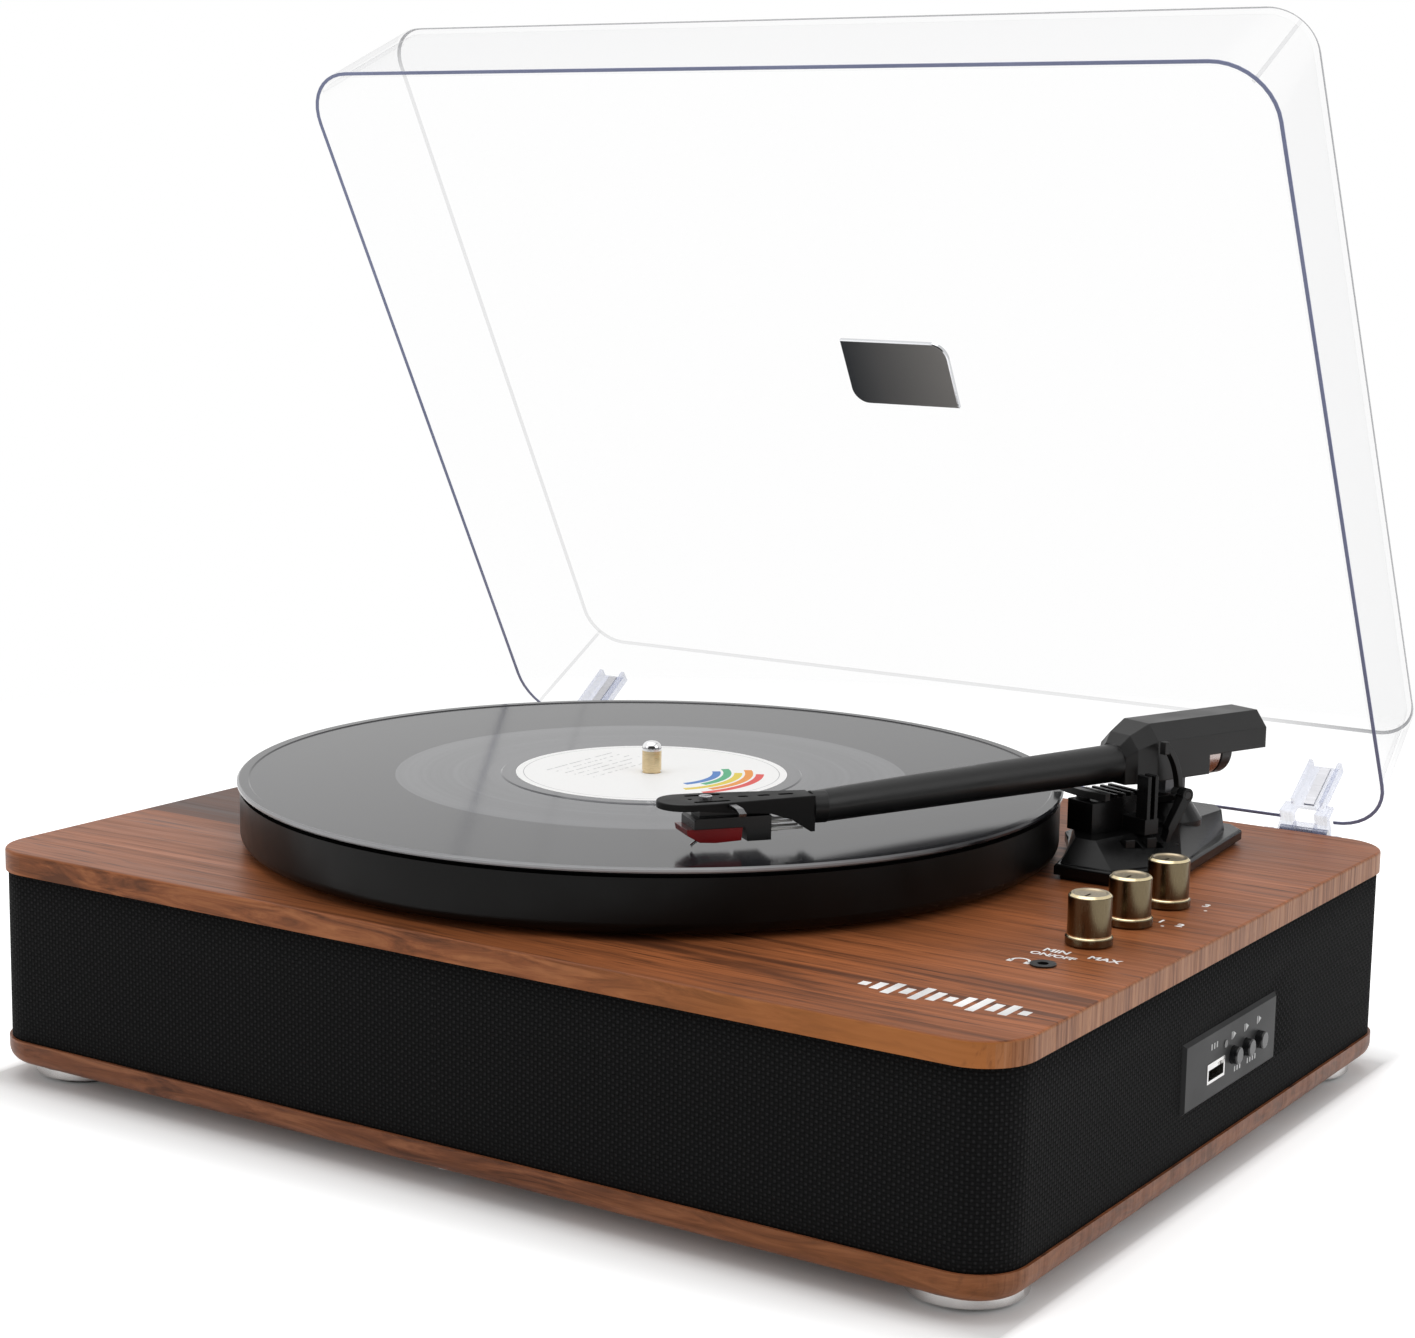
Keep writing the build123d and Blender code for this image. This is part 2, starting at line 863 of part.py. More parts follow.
# Platter: moulded disc, open underneath, with a hub and a ring for the belt
hub_z = top_z + bearing_proud + hub_gap
ring_z = top_z + drive_ring_lift
with BuildPart() as platter:
    with BuildSketch(turning(spindle_x, spindle_y)):
        Polygon(
            (spindle_r, hub_z),
            (hub_r, hub_z),
            (hub_r, web_z),
            (drive_ring_r - drive_ring_t, web_z),
            (drive_ring_r - drive_ring_t, ring_z),
            (drive_ring_r, ring_z),
            (drive_ring_r, web_z),
            (platter_r - platter_rim_t, web_z),
            (platter_r - platter_rim_t, platter_z),
            (platter_r, platter_z),
            (platter_r, platter_top),
            (spindle_r, platter_top),
            align=None,
        )
    revolve(axis=upright(spindle_x, spindle_y))
    fillet(platter.edges().group_by(Axis.Z)[0].sort_by(SortBy.LENGTH)[-1], platter_edge_r)
platter.part.label = "platter"
export_step(platter.part, "parts/platter.step")

# Mat on the platter
with BuildPart() as platter_mat:
    with BuildSketch(level(platter_top)):
        with Locations((spindle_x, spindle_y)):
            Circle(mat_r)
            Circle(spindle_r + record_hole_gap, mode=Mode.SUBTRACT)
    extrude(amount=mat_t)
platter_mat.part.label = "platter_mat"
export_step(platter_mat.part, "parts/platter_mat.step")

# Record: raised bead at the rim, sunk grooves, land and recess for the label
hole_r = spindle_r + record_hole_gap
groove_top = record_top - record_dip
with BuildPart() as record:
    with BuildSketch(turning(spindle_x, spindle_y)):
        Polygon(
            (hole_r, record_z),
            (record_r - record_edge, record_z),
            (record_r, record_z + record_edge),
            (record_r, record_top - record_edge),
            (record_r - record_edge, record_top),
            (record_r - record_bead_w, record_top),
            (record_r - record_bead_w - record_edge, groove_top),
            (label_r + label_land + record_edge, groove_top),
            (label_r + label_land, record_top),
            (label_r, record_top),
            (label_r, record_top - label_t),
            (hole_r, record_top - label_t),
            align=None,
        )
    revolve(axis=upright(spindle_x, spindle_y))
record.part.label = "record"
export_step(record.part, "parts/record.step")

with BuildPart() as record_label:
    with BuildSketch(level(record_top - label_t)):
        with Locations((spindle_x, spindle_y)):
            Circle(label_r)
            Circle(hole_r, mode=Mode.SUBTRACT)
    extrude(amount=label_t)
record_label.part.label = "record_label"
export_step(record_label.part, "parts/record_label.step")

# Spindle: shaft in the bearing, a groove, and a slightly thicker domed pin above the record
with BuildPart() as spindle:
    with BuildSketch(level(top_z - spindle_depth)):
        with Locations((spindle_x, spindle_y)):
            Circle(spindle_r)
    extrude(amount=record_top - top_z + spindle_depth)
    with BuildSketch(level(record_top)):
        with Locations((spindle_x, spindle_y)):
            Circle(spindle_pin_r)
    extrude(amount=spindle_proud)
    fillet(spindle.edges().group_by(Axis.Z)[-1], spindle_dome)
    with BuildSketch(level(record_top)):
        with Locations((spindle_x, spindle_y)):
            Circle(spindle_pin_r)
            Circle(spindle_groove_r, mode=Mode.SUBTRACT)
    extrude(amount=spindle_groove_h, mode=Mode.SUBTRACT)
spindle.part.label = "spindle"
export_step(spindle.part, "parts/spindle.step")

# Motor hung under the top board, and its pulley with the shaft
with BuildPart() as motor:
    with BuildSketch(level(under_z - motor_flange_t)):
        with Locations((motor_x, motor_y)):
            Circle(motor_flange_r)
    extrude(amount=motor_flange_t)
    with BuildSketch(level(under_z - motor_flange_t)):
        with Locations((motor_x, motor_y)):
            Circle(motor_r)
    extrude(amount=-motor_h)
    fillet(motor.edges().group_by(Axis.Z)[0], pulley_rim)
    with BuildSketch(level(under_z)):
        with Locations((motor_x, motor_y)):
            Circle(motor_shaft_r + motor_shaft_fit)
    extrude(amount=-motor_shaft_bite - motor_shaft_fit, mode=Mode.SUBTRACT)
motor.part.label = "motor"
export_step(motor.part, "parts/motor.step")

pulley_z = top_z + pulley_lift
with BuildPart() as motor_pulley:
    with BuildSketch(turning(motor_x, motor_y)):
        Polygon(
            (0, under_z - motor_shaft_bite),
            (motor_shaft_r, under_z - motor_shaft_bite),
            (motor_shaft_r, pulley_z),
            (pulley_r + pulley_rim, pulley_z),
            (pulley_r, pulley_z + pulley_rim),
            (pulley_r, pulley_z + pulley_h - pulley_rim),
            (pulley_r + pulley_rim, pulley_z + pulley_h),
            (0, pulley_z + pulley_h),
            align=None,
        )
    revolve(axis=upright(motor_x, motor_y))
motor_pulley.part.label = "motor_pulley"
export_step(motor_pulley.part, "parts/motor_pulley.step")

# Flat belt round the platter's ring and the pulley
with BuildPart() as drive_belt:
    with BuildSketch(level(top_z + belt_lift)):
        with Locations((spindle_x, spindle_y)):
            Circle(drive_ring_r + belt_gap + belt_t)
        with Locations((motor_x, motor_y)):
            Circle(pulley_r + belt_gap + belt_t)
        make_hull()
    extrude(amount=belt_h)
    with BuildSketch(level(top_z + belt_lift)):
        with Locations((spindle_x, spindle_y)):
            Circle(drive_ring_r + belt_gap)
        with Locations((motor_x, motor_y)):
            Circle(pulley_r + belt_gap)
        make_hull()
    extrude(amount=belt_h, mode=Mode.SUBTRACT)
drive_belt.part.label = "drive_belt"
export_step(drive_belt.part, "parts/drive_belt.step")

# Tonearm base: lipped plate, faceted body, turret and lever post, clear of the platter
plate_outline = [
    (-plate_nose_left, -plate_front),
    (plate_nose_right, -plate_front),
    (plate_right, -plate_shoulder),
    (plate_back_right, plate_back_shoulder),
    (plate_back_corner, plate_back),
    (-plate_left, plate_back),
    (-plate_left, -plate_left_shoulder),
]
body_foot = [
    (-body_nose_left, -body_front),
    (body_nose_right, -body_front),
    (body_right, -body_shoulder),
    (body_back_right, body_back_shoulder),
    (body_back_corner, body_back),
    (-body_left, body_back),
    (-body_left, -body_left_shoulder),
    (-body_waist, -body_waist_front),
]
body_roof = [
    (-roof_nose_left, -roof_front),
    (-roof_nose_right, -roof_front),
    (roof_right, -roof_shoulder),
    (roof_back_right, roof_back_shoulder),
    (roof_back_corner, roof_back),
    (-roof_left, roof_back),
    (-roof_left, -roof_shoulder),
    (-roof_waist, -roof_waist_front),
]
plate_outline = [(pivot_x + x, pivot_y + y) for x, y in plate_outline]
body_foot = [(pivot_x + x, pivot_y + y) for x, y in body_foot]
body_roof = [(pivot_x + x, pivot_y + y) for x, y in body_roof]
with BuildPart() as tonearm_base:
    with BuildSketch(level(top_z + base_foot_h)):
        Polygon(*plate_outline, align=None)
        with Locations((spindle_x, spindle_y)):
            Circle(base_clear_r, mode=Mode.SUBTRACT)
    extrude(amount=base_plate_h - base_foot_h)
    fillet(tonearm_base.faces().sort_by(Axis.Z)[-1].edges(), base_lip_r)
    with BuildSketch(level(top_z)):
        Polygon(*plate_outline, align=None)
        with Locations((spindle_x, spindle_y)):
            Circle(base_clear_r, mode=Mode.SUBTRACT)
        offset(amount=-base_foot_inset, mode=Mode.REPLACE)
    extrude(amount=base_foot_h)
    with BuildSketch(level(top_z + base_plate_h)):
        Polygon(*body_foot, align=None)
    with BuildSketch(level(top_z + base_body_h)):
        Polygon(*body_roof, align=None)
    loft(ruled=True)
    with BuildSketch(turning(pivot_x, pivot_y)):
        Polygon(
            (0, top_z + base_plate_h),
            (turret_r, top_z + base_plate_h),
            (turret_r, top_z + base_body_h),
            (turret_top_r, top_z + turret_h),
            (0, top_z + turret_h),
            align=None,
        )
    revolve(axis=upright(pivot_x, pivot_y))
    with BuildSketch(arm_side(lever_p + lever_w + lever_gap)):
        with BuildLine():
            Line((lever_u, top_z + lever_h), (post_knee_u, top_z + post_knee_h))
        trace(line_width=post_sleeve_t)
        with BuildLine():
            Line((post_knee_u, top_z + post_knee_h), (post_foot_u, top_z + post_foot_h))
        trace(line_width=post_rod_t)
        with Locations((lever_u, top_z + lever_h)):
            Circle(post_eye_r)
        with Locations((post_knee_u, top_z + post_knee_h)):
            Circle(post_sleeve_t / 2)
        with Locations((lever_u, top_z + lever_h)):
            Circle(lever_pin_r + lever_pin_fit, mode=Mode.SUBTRACT)
    extrude(amount=post_w)
    with BuildSketch(level(top_z)):
        with Locations((pivot_x, pivot_y)):
            Circle(swivel_r + swivel_fit)
    extrude(amount=turret_h, mode=Mode.SUBTRACT)
    with BuildSketch(arm_plane.offset(top_z + lift_bore_floor_h)):
        with Locations((0, -lift_r)):
            Circle(lift_stem_r + lift_stem_fit)
    extrude(amount=base_body_h, mode=Mode.SUBTRACT)
    with BuildSketch(level(top_z + switch_floor_h)):
        for place in switch_places.values():
            with Locations(Location((place[0], place[1], 0), (0, 0, -switch_heading))):
                with Locations((0, switch_travel / 2)):
                    Rectangle(switch_w + 2 * switch_gap, switch_l + switch_travel + 2 * switch_gap)
    extrude(amount=switch_top_h, mode=Mode.SUBTRACT)
tonearm_base.part.label = "tonearm_base"
export_step(tonearm_base.part, "parts/tonearm_base.step")

# Slide switches
for name, (x, y) in switch_places.items():
    with BuildPart() as switch:
        with BuildSketch(level(top_z + switch_floor_h + switch_gap)):
            with Locations(Location((x, y, 0), (0, 0, -switch_heading))):
                Rectangle(switch_w, switch_l)
        extrude(amount=switch_top_h - switch_floor_h - switch_gap)
        fillet(switch.faces().sort_by(Axis.Z)[-1].edges(), switch_gap)
    switch.part.label = name
    export_step(switch.part, f"parts/{name}.step")

# Arm rest: ribbed block under the arm, two fins that stop the parked arm, and the lift stem's guide
with BuildPart() as arm_rest:
    with BuildSketch(arm_plane.offset(top_z + base_body_h)):
        with Locations((rest_block_p, rest_block_u)):
            Rectangle(rest_block_w, rest_block_l)
    extrude(amount=rest_block_h - base_body_h)
    with BuildSketch(arm_plane.offset(top_z + rest_block_h)):
        with Locations((rest_block_p, rest_block_u)):
            with GridLocations(0, rest_rib_pitch, 1, 4):
                Rectangle(rest_block_w, rest_rib_t)
    extrude(amount=rest_rib_h)
    shelf_p = rest_block_p + rest_block_w / 2
    shelf_w = rest_fin_p + rest_fin_w - shelf_p
    with BuildSketch(arm_plane.offset(top_z + base_body_h)):
        with Locations((shelf_p + shelf_w / 2, rest_shelf_u)):
            Rectangle(shelf_w, rest_shelf_l)
    extrude(amount=rest_shelf_h - base_body_h)
    with BuildSketch(arm_plane.offset(top_z + rest_shelf_h)):
        with Locations((rest_fin_p + rest_fin_w / 2, rest_shelf_u)):
            with GridLocations(0, rest_fin_pitch, 1, 2):
                Rectangle(rest_fin_w, rest_fin_t)
    extrude(amount=rest_fin_h - rest_shelf_h)
    with BuildSketch(arm_plane.offset(top_z + base_body_h)):
        with Locations((guide_p, -lift_r)):
            Rectangle(guide_w, guide_l)
    extrude(amount=guide_h - base_body_h)
    with BuildSketch(arm_plane.offset(top_z + base_body_h)):
        with Locations((0, -lift_r)):
            Circle(lift_stem_r + lift_stem_fit)
    extrude(amount=guide_h - base_body_h, mode=Mode.SUBTRACT)
arm_rest.part.label = "arm_rest"
export_step(arm_rest.part, "parts/arm_rest.step")

# Lift platform: an arc about the arm's pivot on a sliding stem
with BuildPart() as lift_platform:
    with BuildSketch(arm_plane.offset(top_z + lift_h - lift_t)):
        with BuildLine():
            CenterArc((0, 0), lift_r, -90 - lift_inner_deg, lift_inner_deg + lift_outer_deg)
        trace(line_width=lift_w)
    extrude(amount=lift_t)
    with BuildSketch(arm_plane.offset(top_z + lift_h - lift_t)):
        with Locations((0, -lift_r)):
            Circle(lift_stem_r)
    extrude(amount=-lift_stem_l)
lift_platform.part.label = "lift_platform"
export_step(lift_platform.part, "parts/lift_platform.step")

# Cue lever: curved handle with a thumb tab, pivot pin, and a finger that reaches under the arm
bar_root_z = top_z + lever_h - lever_boss_r / 2
bar_start = arm_plane.from_local_coords(Vector(lever_p + lever_w / 2, finger_bar_root_u, bar_root_z))
bar_end = arm_plane.from_local_coords(Vector(finger_bar_p, finger_bar_u, top_z + finger_bar_h))
with BuildPart() as cue_lever:
    with BuildSketch(arm_side(lever_p)):
        with BuildLine():
            ThreePointArc(
                (lever_u, top_z + lever_h),
                (lever_mid_u + lever_t, top_z + lever_mid_h),
                (lever_tip_u, top_z + lever_tip_h),
            )
        trace(line_width=lever_t)
        with BuildLine():
            Line((lever_u, top_z + lever_h), (finger_bar_root_u - lever_t / 2, bar_root_z))
        trace(line_width=lever_t)
        with Locations((lever_u, top_z + lever_h)):
            Circle(lever_boss_r)
        with Locations((lever_tip_u, top_z + lever_tip_h - lever_tab_l / 2 + lever_t / 2)):
            Rectangle(lever_t, lever_tab_l)
    extrude(amount=lever_w)
    with BuildSketch(arm_side(lever_p)):
        with Locations((lever_u, top_z + lever_h)):
            Circle(lever_pin_r)
    extrude(amount=lever_w + lever_gap + post_w)
    with BuildSketch(Plane(bar_start, x_dir=(0, 0, 1), z_dir=bar_end - bar_start)):
        Rectangle(finger_bar_t, finger_bar_t)
    extrude(amount=(bar_end - bar_start).length)
cue_lever.part.label = "cue_lever"
export_step(cue_lever.part, "parts/cue_lever.step")

# Yoke on its upright swivel shaft, with the bore of the arm's level pivot
yoke_z = top_z + turret_h + swivel_gap
with BuildPart() as arm_yoke:
    with BuildSketch(arm_plane.offset(yoke_z)):
        Circle(swivel_r)
    extrude(amount=-swivel_depth)
    with BuildSketch(arm_plane.offset(yoke_z)):
        Circle(yoke_flange_r)
    extrude(amount=yoke_flange_t)
    with BuildSketch(arm_side(-yoke_half_w)):
        yoke_shank = axis_z - yoke_z
        with Locations((0, axis_z - yoke_shank / 2)):
            Rectangle(2 * yoke_half_l, yoke_shank)
        with Locations((0, axis_z)):
            Circle(yoke_head)
            Circle(pivot_pin_r + pivot_pin_fit, mode=Mode.SUBTRACT)
    extrude(amount=2 * yoke_half_w)
arm_yoke.part.label = "arm_yoke"
export_step(arm_yoke.part, "parts/arm_yoke.step")

# Tonearm moulding: tapered tube, faceted nose and rear housing, hollowed for the yoke and the weight
with BuildPart() as tonearm:
    front_outline = six_sided(
        housing_half_w, housing_top_half_w, housing_floor_h, housing_chamfer_h, housing_top_h
    )
    rear_outline = six_sided(
        housing_half_w, housing_top_half_w, housing_rear_floor_h, housing_chamfer_h, housing_top_h
    )
    brow_outline = six_sided(brow_half_w, brow_top_half_w, brow_floor_h, brow_chamfer_h, brow_top_h)
    neck_outline = six_sided(neck_half_w, neck_top_half_w, neck_floor_h, neck_chamfer_h, neck_top_h)
    with BuildSketch(arm_section(arm_nose_u)):
        Polygon(*front_outline, align=None)
    extrude(amount=arm_nose_u - housing_step_u)
    with BuildSketch(arm_section(housing_step_u)):
        Polygon(*rear_outline, align=None)
    extrude(amount=housing_step_u - housing_rear_u)
    with BuildSketch(arm_section(arm_nose_u)):
        Polygon(*front_outline, align=None)
    with BuildSketch(arm_section(arm_brow_u)):
        Polygon(*brow_outline, align=None)
    with BuildSketch(arm_section(arm_neck_u)):
        Polygon(*neck_outline, align=None)
    loft(ruled=True)
    with BuildSketch(arm_section(arm_nose_u)):
        with Locations((0, axis_z)):
            Circle(arm_neck_r)
    with BuildSketch(arm_section((arm_nose_u + arm_end_u) / 2)):
        with Locations((arm_end_p / 3, axis_z)):
            Circle(arm_mid_r)
    with BuildSketch(arm_section(arm_end_u)):
        with Locations((arm_end_p, axis_z)):
            Circle(arm_end_r)
    loft()
    with BuildSketch(head_section(-headshell_start)):
        with Locations((0, axis_z)):
            Circle(arm_end_r)
    extrude(amount=-headshell_start - arm_elbow_l)
    with BuildSketch(arm_plane.offset(top_z + housing_floor_h)):
        Rectangle(2 * (yoke_half_w + yoke_gap), 2 * (yoke_half_l + yoke_swing_gap))
    extrude(amount=arm_axis_h + yoke_head + yoke_roof_gap - housing_floor_h, mode=Mode.SUBTRACT)
    with BuildSketch(arm_side(pivot_pin_inset - housing_half_w)):
        with Locations((0, axis_z)):
            Circle(pivot_pin_r)
    extrude(amount=2 * (housing_half_w - pivot_pin_inset), mode=Mode.SUBTRACT)
    with BuildSketch(arm_section(housing_step_u)):
        with Locations((0, top_z + weight_h)):
            Circle(weight_r)
    extrude(amount=-weight_l - weight_cap_l)
    fillet(tonearm.edges().filter_by(GeomType.CIRCLE).sort_by(arm_plane.location.y_axis)[-1], weight_chamfer)
    with BuildSketch(arm_section(housing_step_u)):
        with Locations((0, top_z + weight_h)):
            Circle(weight_r)
    extrude(amount=-weight_l, mode=Mode.SUBTRACT)
tonearm.part.label = "tonearm"
export_step(tonearm.part, "parts/tonearm.step")

# Level pivot pin through the yoke
with BuildPart() as pivot_pin:
    with BuildSketch(arm_side(pivot_pin_inset - housing_half_w)):
        with Locations((0, axis_z)):
            Circle(pivot_pin_r)
    extrude(amount=2 * (housing_half_w - pivot_pin_inset))
pivot_pin.part.label = "pivot_pin"
export_step(pivot_pin.part, "parts/pivot_pin.step")

# Counterweight under the rear of the housing
with BuildPart() as counterweight:
    with BuildSketch(arm_section(housing_step_u)):
        with Locations((0, top_z + weight_h)):
            Circle(weight_r)
    extrude(amount=-weight_l)
    chamfer(counterweight.edges().filter_by(GeomType.CIRCLE), weight_chamfer)
counterweight.part.label = "counterweight"
export_step(counterweight.part, "parts/counterweight.step")

# Headshell: a tub with a rounded tip, whose walls deepen to a fin at the neck
plate_z = top_z + headshell_top_h - headshell_t
tip_y = headshell_half_w - headshell_l
oval_places = [(oval_front_y, oval_front_l), (oval_middle_y, oval_middle_l), (oval_back_y, oval_back_l)]
with BuildPart() as headshell:
    with BuildSketch(head_plane.offset(top_z + fin_h)) as headshell_outline:
        Polygon(
            (-headshell_neck_half_w, -headshell_start),
            (headshell_neck_half_w, -headshell_start),
            (headshell_half_w, -headshell_shoulder),
            (headshell_half_w, tip_y),
            (-headshell_half_w, tip_y),
            (-headshell_half_w, -headshell_shoulder),
            align=None,
        )
        with Locations((0, tip_y)):
            Circle(headshell_half_w)
    extrude(amount=headshell_top_h - fin_h)
    fillet(headshell.faces().sort_by(Axis.Z)[-1].edges(), headshell_edge)
    with BuildSketch(head_plane.offset(top_z + fin_h)):
        add(headshell_outline.sketch_local)
        offset(amount=-headshell_wall, mode=Mode.REPLACE)
        Rectangle(4 * headshell_half_w, 2 * socket_l, mode=Mode.SUBTRACT)
    extrude(amount=plate_z - top_z - fin_h, mode=Mode.SUBTRACT)
    with BuildSketch(head_side(-2 * headshell_half_w)):
        Polygon(
            (-2 * headshell_l, top_z + fin_h),
            (-2 * headshell_l, plate_z),
            (-skirt_start, plate_z),
            (-skirt_knee, top_z + skirt_knee_h),
            (-skirt_end, top_z + skirt_end_h),
            (-fin_start, top_z + fin_h),
            align=None,
        )
    extrude(amount=4 * headshell_half_w, mode=Mode.SUBTRACT)
    with BuildSketch(head_plane.offset(plate_z)):
        with Locations((-slot_x, slot_y), (slot_x, slot_y)):
            SlotOverall(slot_l, slot_w, rotation=90)
        with Locations((0, screw_y)):
            Circle(cartridge_screw_r)
            with GridLocations(0, spare_hole_pitch, 1, 2):
                Circle(spare_hole_r)
        for y, length in oval_places:
            with Locations((0, y)):
                SlotOverall(length, oval_w, rotation=90)
    extrude(amount=headshell_t, mode=Mode.SUBTRACT)
headshell.part.label = "headshell"
export_step(headshell.part, "parts/headshell.step")

# Screw that holds the cartridge
with BuildPart() as headshell_screw:
    with BuildSketch(head_plane.offset(plate_z)):
        with Locations((0, screw_y)):
            Circle(cartridge_screw_r)
    extrude(amount=headshell_t)
    with BuildSketch(head_plane.offset(plate_z + headshell_t)):
        with Locations((0, screw_y)):
            Circle(cartridge_screw_head_r)
            Rectangle(screw_slot_w, 2 * cartridge_screw_r, mode=Mode.SUBTRACT)
    extrude(amount=cartridge_screw_head_t)
headshell_screw.part.label = "headshell_screw"
export_step(headshell_screw.part, "parts/headshell_screw.step")

# Finger lift on the headshell's right edge
with BuildPart() as finger_lift:
    with BuildSketch(head_section(finger_y - finger_w / 2)):
        with BuildLine():
            FilletPolyline(
                (finger_root_x, plate_z + headshell_t / 2),
                (finger_root_x + finger_l * 2 / 3, plate_z + headshell_t / 2),
                (finger_root_x + finger_l, plate_z + headshell_t / 2 - finger_drop),
                radius=finger_l / 4,
            )
        trace(line_width=finger_t)
    extrude(amount=-finger_w)
finger_lift.part.label = "finger_lift"
export_step(finger_lift.part, "parts/finger_lift.step")

# Cartridge: a narrow neck under the plate, and a body with a deeper tail
cartridge_back = cartridge_front + cartridge_l
cartridge_tail = cartridge_back - cartridge_tail_l
cartridge_floor = top_z + cartridge_floor_h
with BuildPart() as cartridge:
    with BuildSketch(head_side(-cartridge_half_w)):
        Polygon(
            (cartridge_front + cartridge_nose, top_z + cartridge_top_h),
            (cartridge_front, top_z + cartridge_top_h - cartridge_nose),
            (cartridge_front, cartridge_floor),
            (cartridge_tail - cartridge_nose, cartridge_floor),
            (cartridge_tail, top_z + cartridge_tail_floor_h),
            (cartridge_back, top_z + cartridge_tail_floor_h),
            (cartridge_back, top_z + cartridge_top_h),
            align=None,
        )
    extrude(amount=2 * cartridge_half_w)
    with BuildSketch(head_plane.offset(top_z + cartridge_top_h)):
        with Locations((0, cartridge_neck_front + cartridge_neck_l / 2)):
            Rectangle(2 * cartridge_neck_half_w, cartridge_neck_l)
    extrude(amount=plate_z - top_z - cartridge_top_h)
cartridge.part.label = "cartridge"
export_step(cartridge.part, "parts/cartridge.step")

# Stylus holder, boat-shaped, clipped under the front of the cartridge
stylus_back = stylus_front + stylus_l
holder_floor = top_z + stylus_floor_h
with BuildPart() as stylus_holder:
    with BuildSketch(head_side(-stylus_half_w)):
        Polygon(
            (stylus_front, cartridge_floor),
            (stylus_front + stylus_rise, cartridge_floor - stylus_brow),
            (stylus_front + stylus_nose, holder_floor + stylus_rise),
            (stylus_front + stylus_l / 2, holder_floor),
            (stylus_back - stylus_tail, holder_floor + stylus_rise),
            (stylus_back - cartridge_nose, cartridge_floor),
            align=None,
        )
    extrude(amount=2 * stylus_half_w)
    with BuildSketch(head_plane.offset(holder_floor)):
        with Locations((0, stylus_y)):
            Rectangle(stylus_slot_w, stylus_slot_l)
    extrude(amount=stylus_slot_h, mode=Mode.SUBTRACT)
stylus_holder.part.label = "stylus_holder"
export_step(stylus_holder.part, "parts/stylus_holder.step")

# Cantilever and stylus tip, just clear of the groove
tip_z = record_top + stylus_clear
root_z = holder_floor + stylus_slot_h - cantilever_r
lever_root = head_plane.from_local_coords(Vector(0, stylus_y + cantilever_run, root_z))
lever_tip = head_plane.from_local_coords(Vector(0, stylus_y, tip_z + 2 * cantilever_r))
with BuildPart() as cantilever:
    with BuildSketch(Plane(lever_root, z_dir=lever_tip - lever_root)):
        Circle(cantilever_r)
    extrude(amount=(lever_tip - lever_root).length + cantilever_r)
    with BuildSketch(head_plane.offset(tip_z)):
        with Locations((0, stylus_y)):
            Circle(cantilever_r / 3)
    extrude(amount=2 * cantilever_r)
cantilever.part.label = "cantilever"
export_step(cantilever.part, "parts/cantilever.step")

# Four cartridge pins, each with its lead up to the sloping underside of the headshell's neck
fin_slope = (skirt_end - fin_start) / (skirt_end_h - fin_h)
with BuildPart() as cartridge_pins:
    for px in (-pin_x, pin_x):
        for row in (0, 1):
            pin_h = pin_low_h + row * pin_pitch_h
            lead_end = -skirt_end + (skirt_end_h - pin_h - lead_r) * fin_slope
            with BuildSketch(head_section(cartridge_back)):
                with Locations((px, top_z + pin_h)):
                    Circle(pin_r)
            extrude(amount=-pin_l)
            with BuildSketch(head_section(cartridge_back + pin_l)):
                with Locations((px, top_z + pin_h)):
                    Circle(lead_r)
            extrude(amount=cartridge_back + pin_l - lead_end)
cartridge_pins.part.label = "cartridge_pins"
export_step(cartridge_pins.part, "parts/cartridge_pins.step")

# Control knobs, each turned in one piece with its shaft
knob_z = top_z + knob_gap
for name, (x, y) in knob_places.items():
    with BuildPart() as knob:
        with BuildSketch(turning(x, y)):
            Polygon(
                (0, under_z - shaft_bite),
                (shaft_r, under_z - shaft_bite),
                (shaft_r, knob_z),
                (knob_skirt_r, knob_z),
                (knob_skirt_r, knob_z + knob_skirt_h),
                (knob_r, knob_z + knob_skirt_h + knob_gap),
                (knob_r, top_z + knob_h - knob_chamfer),
                (knob_r - knob_chamfer, top_z + knob_h),
                (knob_dish_r, top_z + knob_h),
                (knob_dish_r - knob_dish, top_z + knob_h - knob_dish),
                (0, top_z + knob_h - knob_dish),
                align=None,
            )
        revolve(axis=upright(x, y))
        with BuildSketch(level(top_z + knob_h - 2 * knob_dish)):
            with Locations((x, y - knob_line_l / 2)):
                Rectangle(knob_line_w, knob_line_l)
        extrude(amount=knob_dish, mode=Mode.SUBTRACT)
    knob.part.label = name
    export_step(knob.part, f"parts/{name}.step")

# Potentiometer bodies under the top board
with BuildPart() as potentiometers:
    with BuildSketch(level(under_z - pot_h)):
        with Locations(*knob_places.values()):
            RectangleRounded(pot_w, pot_w, shaft_r)
    extrude(amount=pot_h)
    with BuildSketch(level(under_z)):
        with Locations(*knob_places.values()):
            Circle(shaft_r + shaft_fit)
    extrude(amount=-shaft_bite - shaft_end_gap, mode=Mode.SUBTRACT)
potentiometers.part.label = "potentiometers"
export_step(potentiometers.part, "parts/potentiometers.step")

# Headphone jack
with BuildPart() as headphone_jack:
    with BuildSketch(level(under_z - pot_h)):
        with Locations((jack_x, jack_y)):
            Rectangle(jack_body_w, jack_body_w)
    extrude(amount=pot_h)
    with BuildSketch(level(under_z)):
        with Locations((jack_x, jack_y)):
            Circle(jack_r)
    extrude(amount=top_t)
    with BuildSketch(level(top_z)):
        with Locations((jack_x, jack_y)):
            Circle(jack_collar_r)
    extrude(amount=jack_collar_t)
    with BuildSketch(level(top_z + jack_collar_t)):
        with Locations((jack_x, jack_y)):
            Circle(jack_bore_r)
    extrude(amount=-jack_bore_l, mode=Mode.SUBTRACT)
headphone_jack.part.label = "headphone_jack"
export_step(headphone_jack.part, "parts/headphone_jack.step")

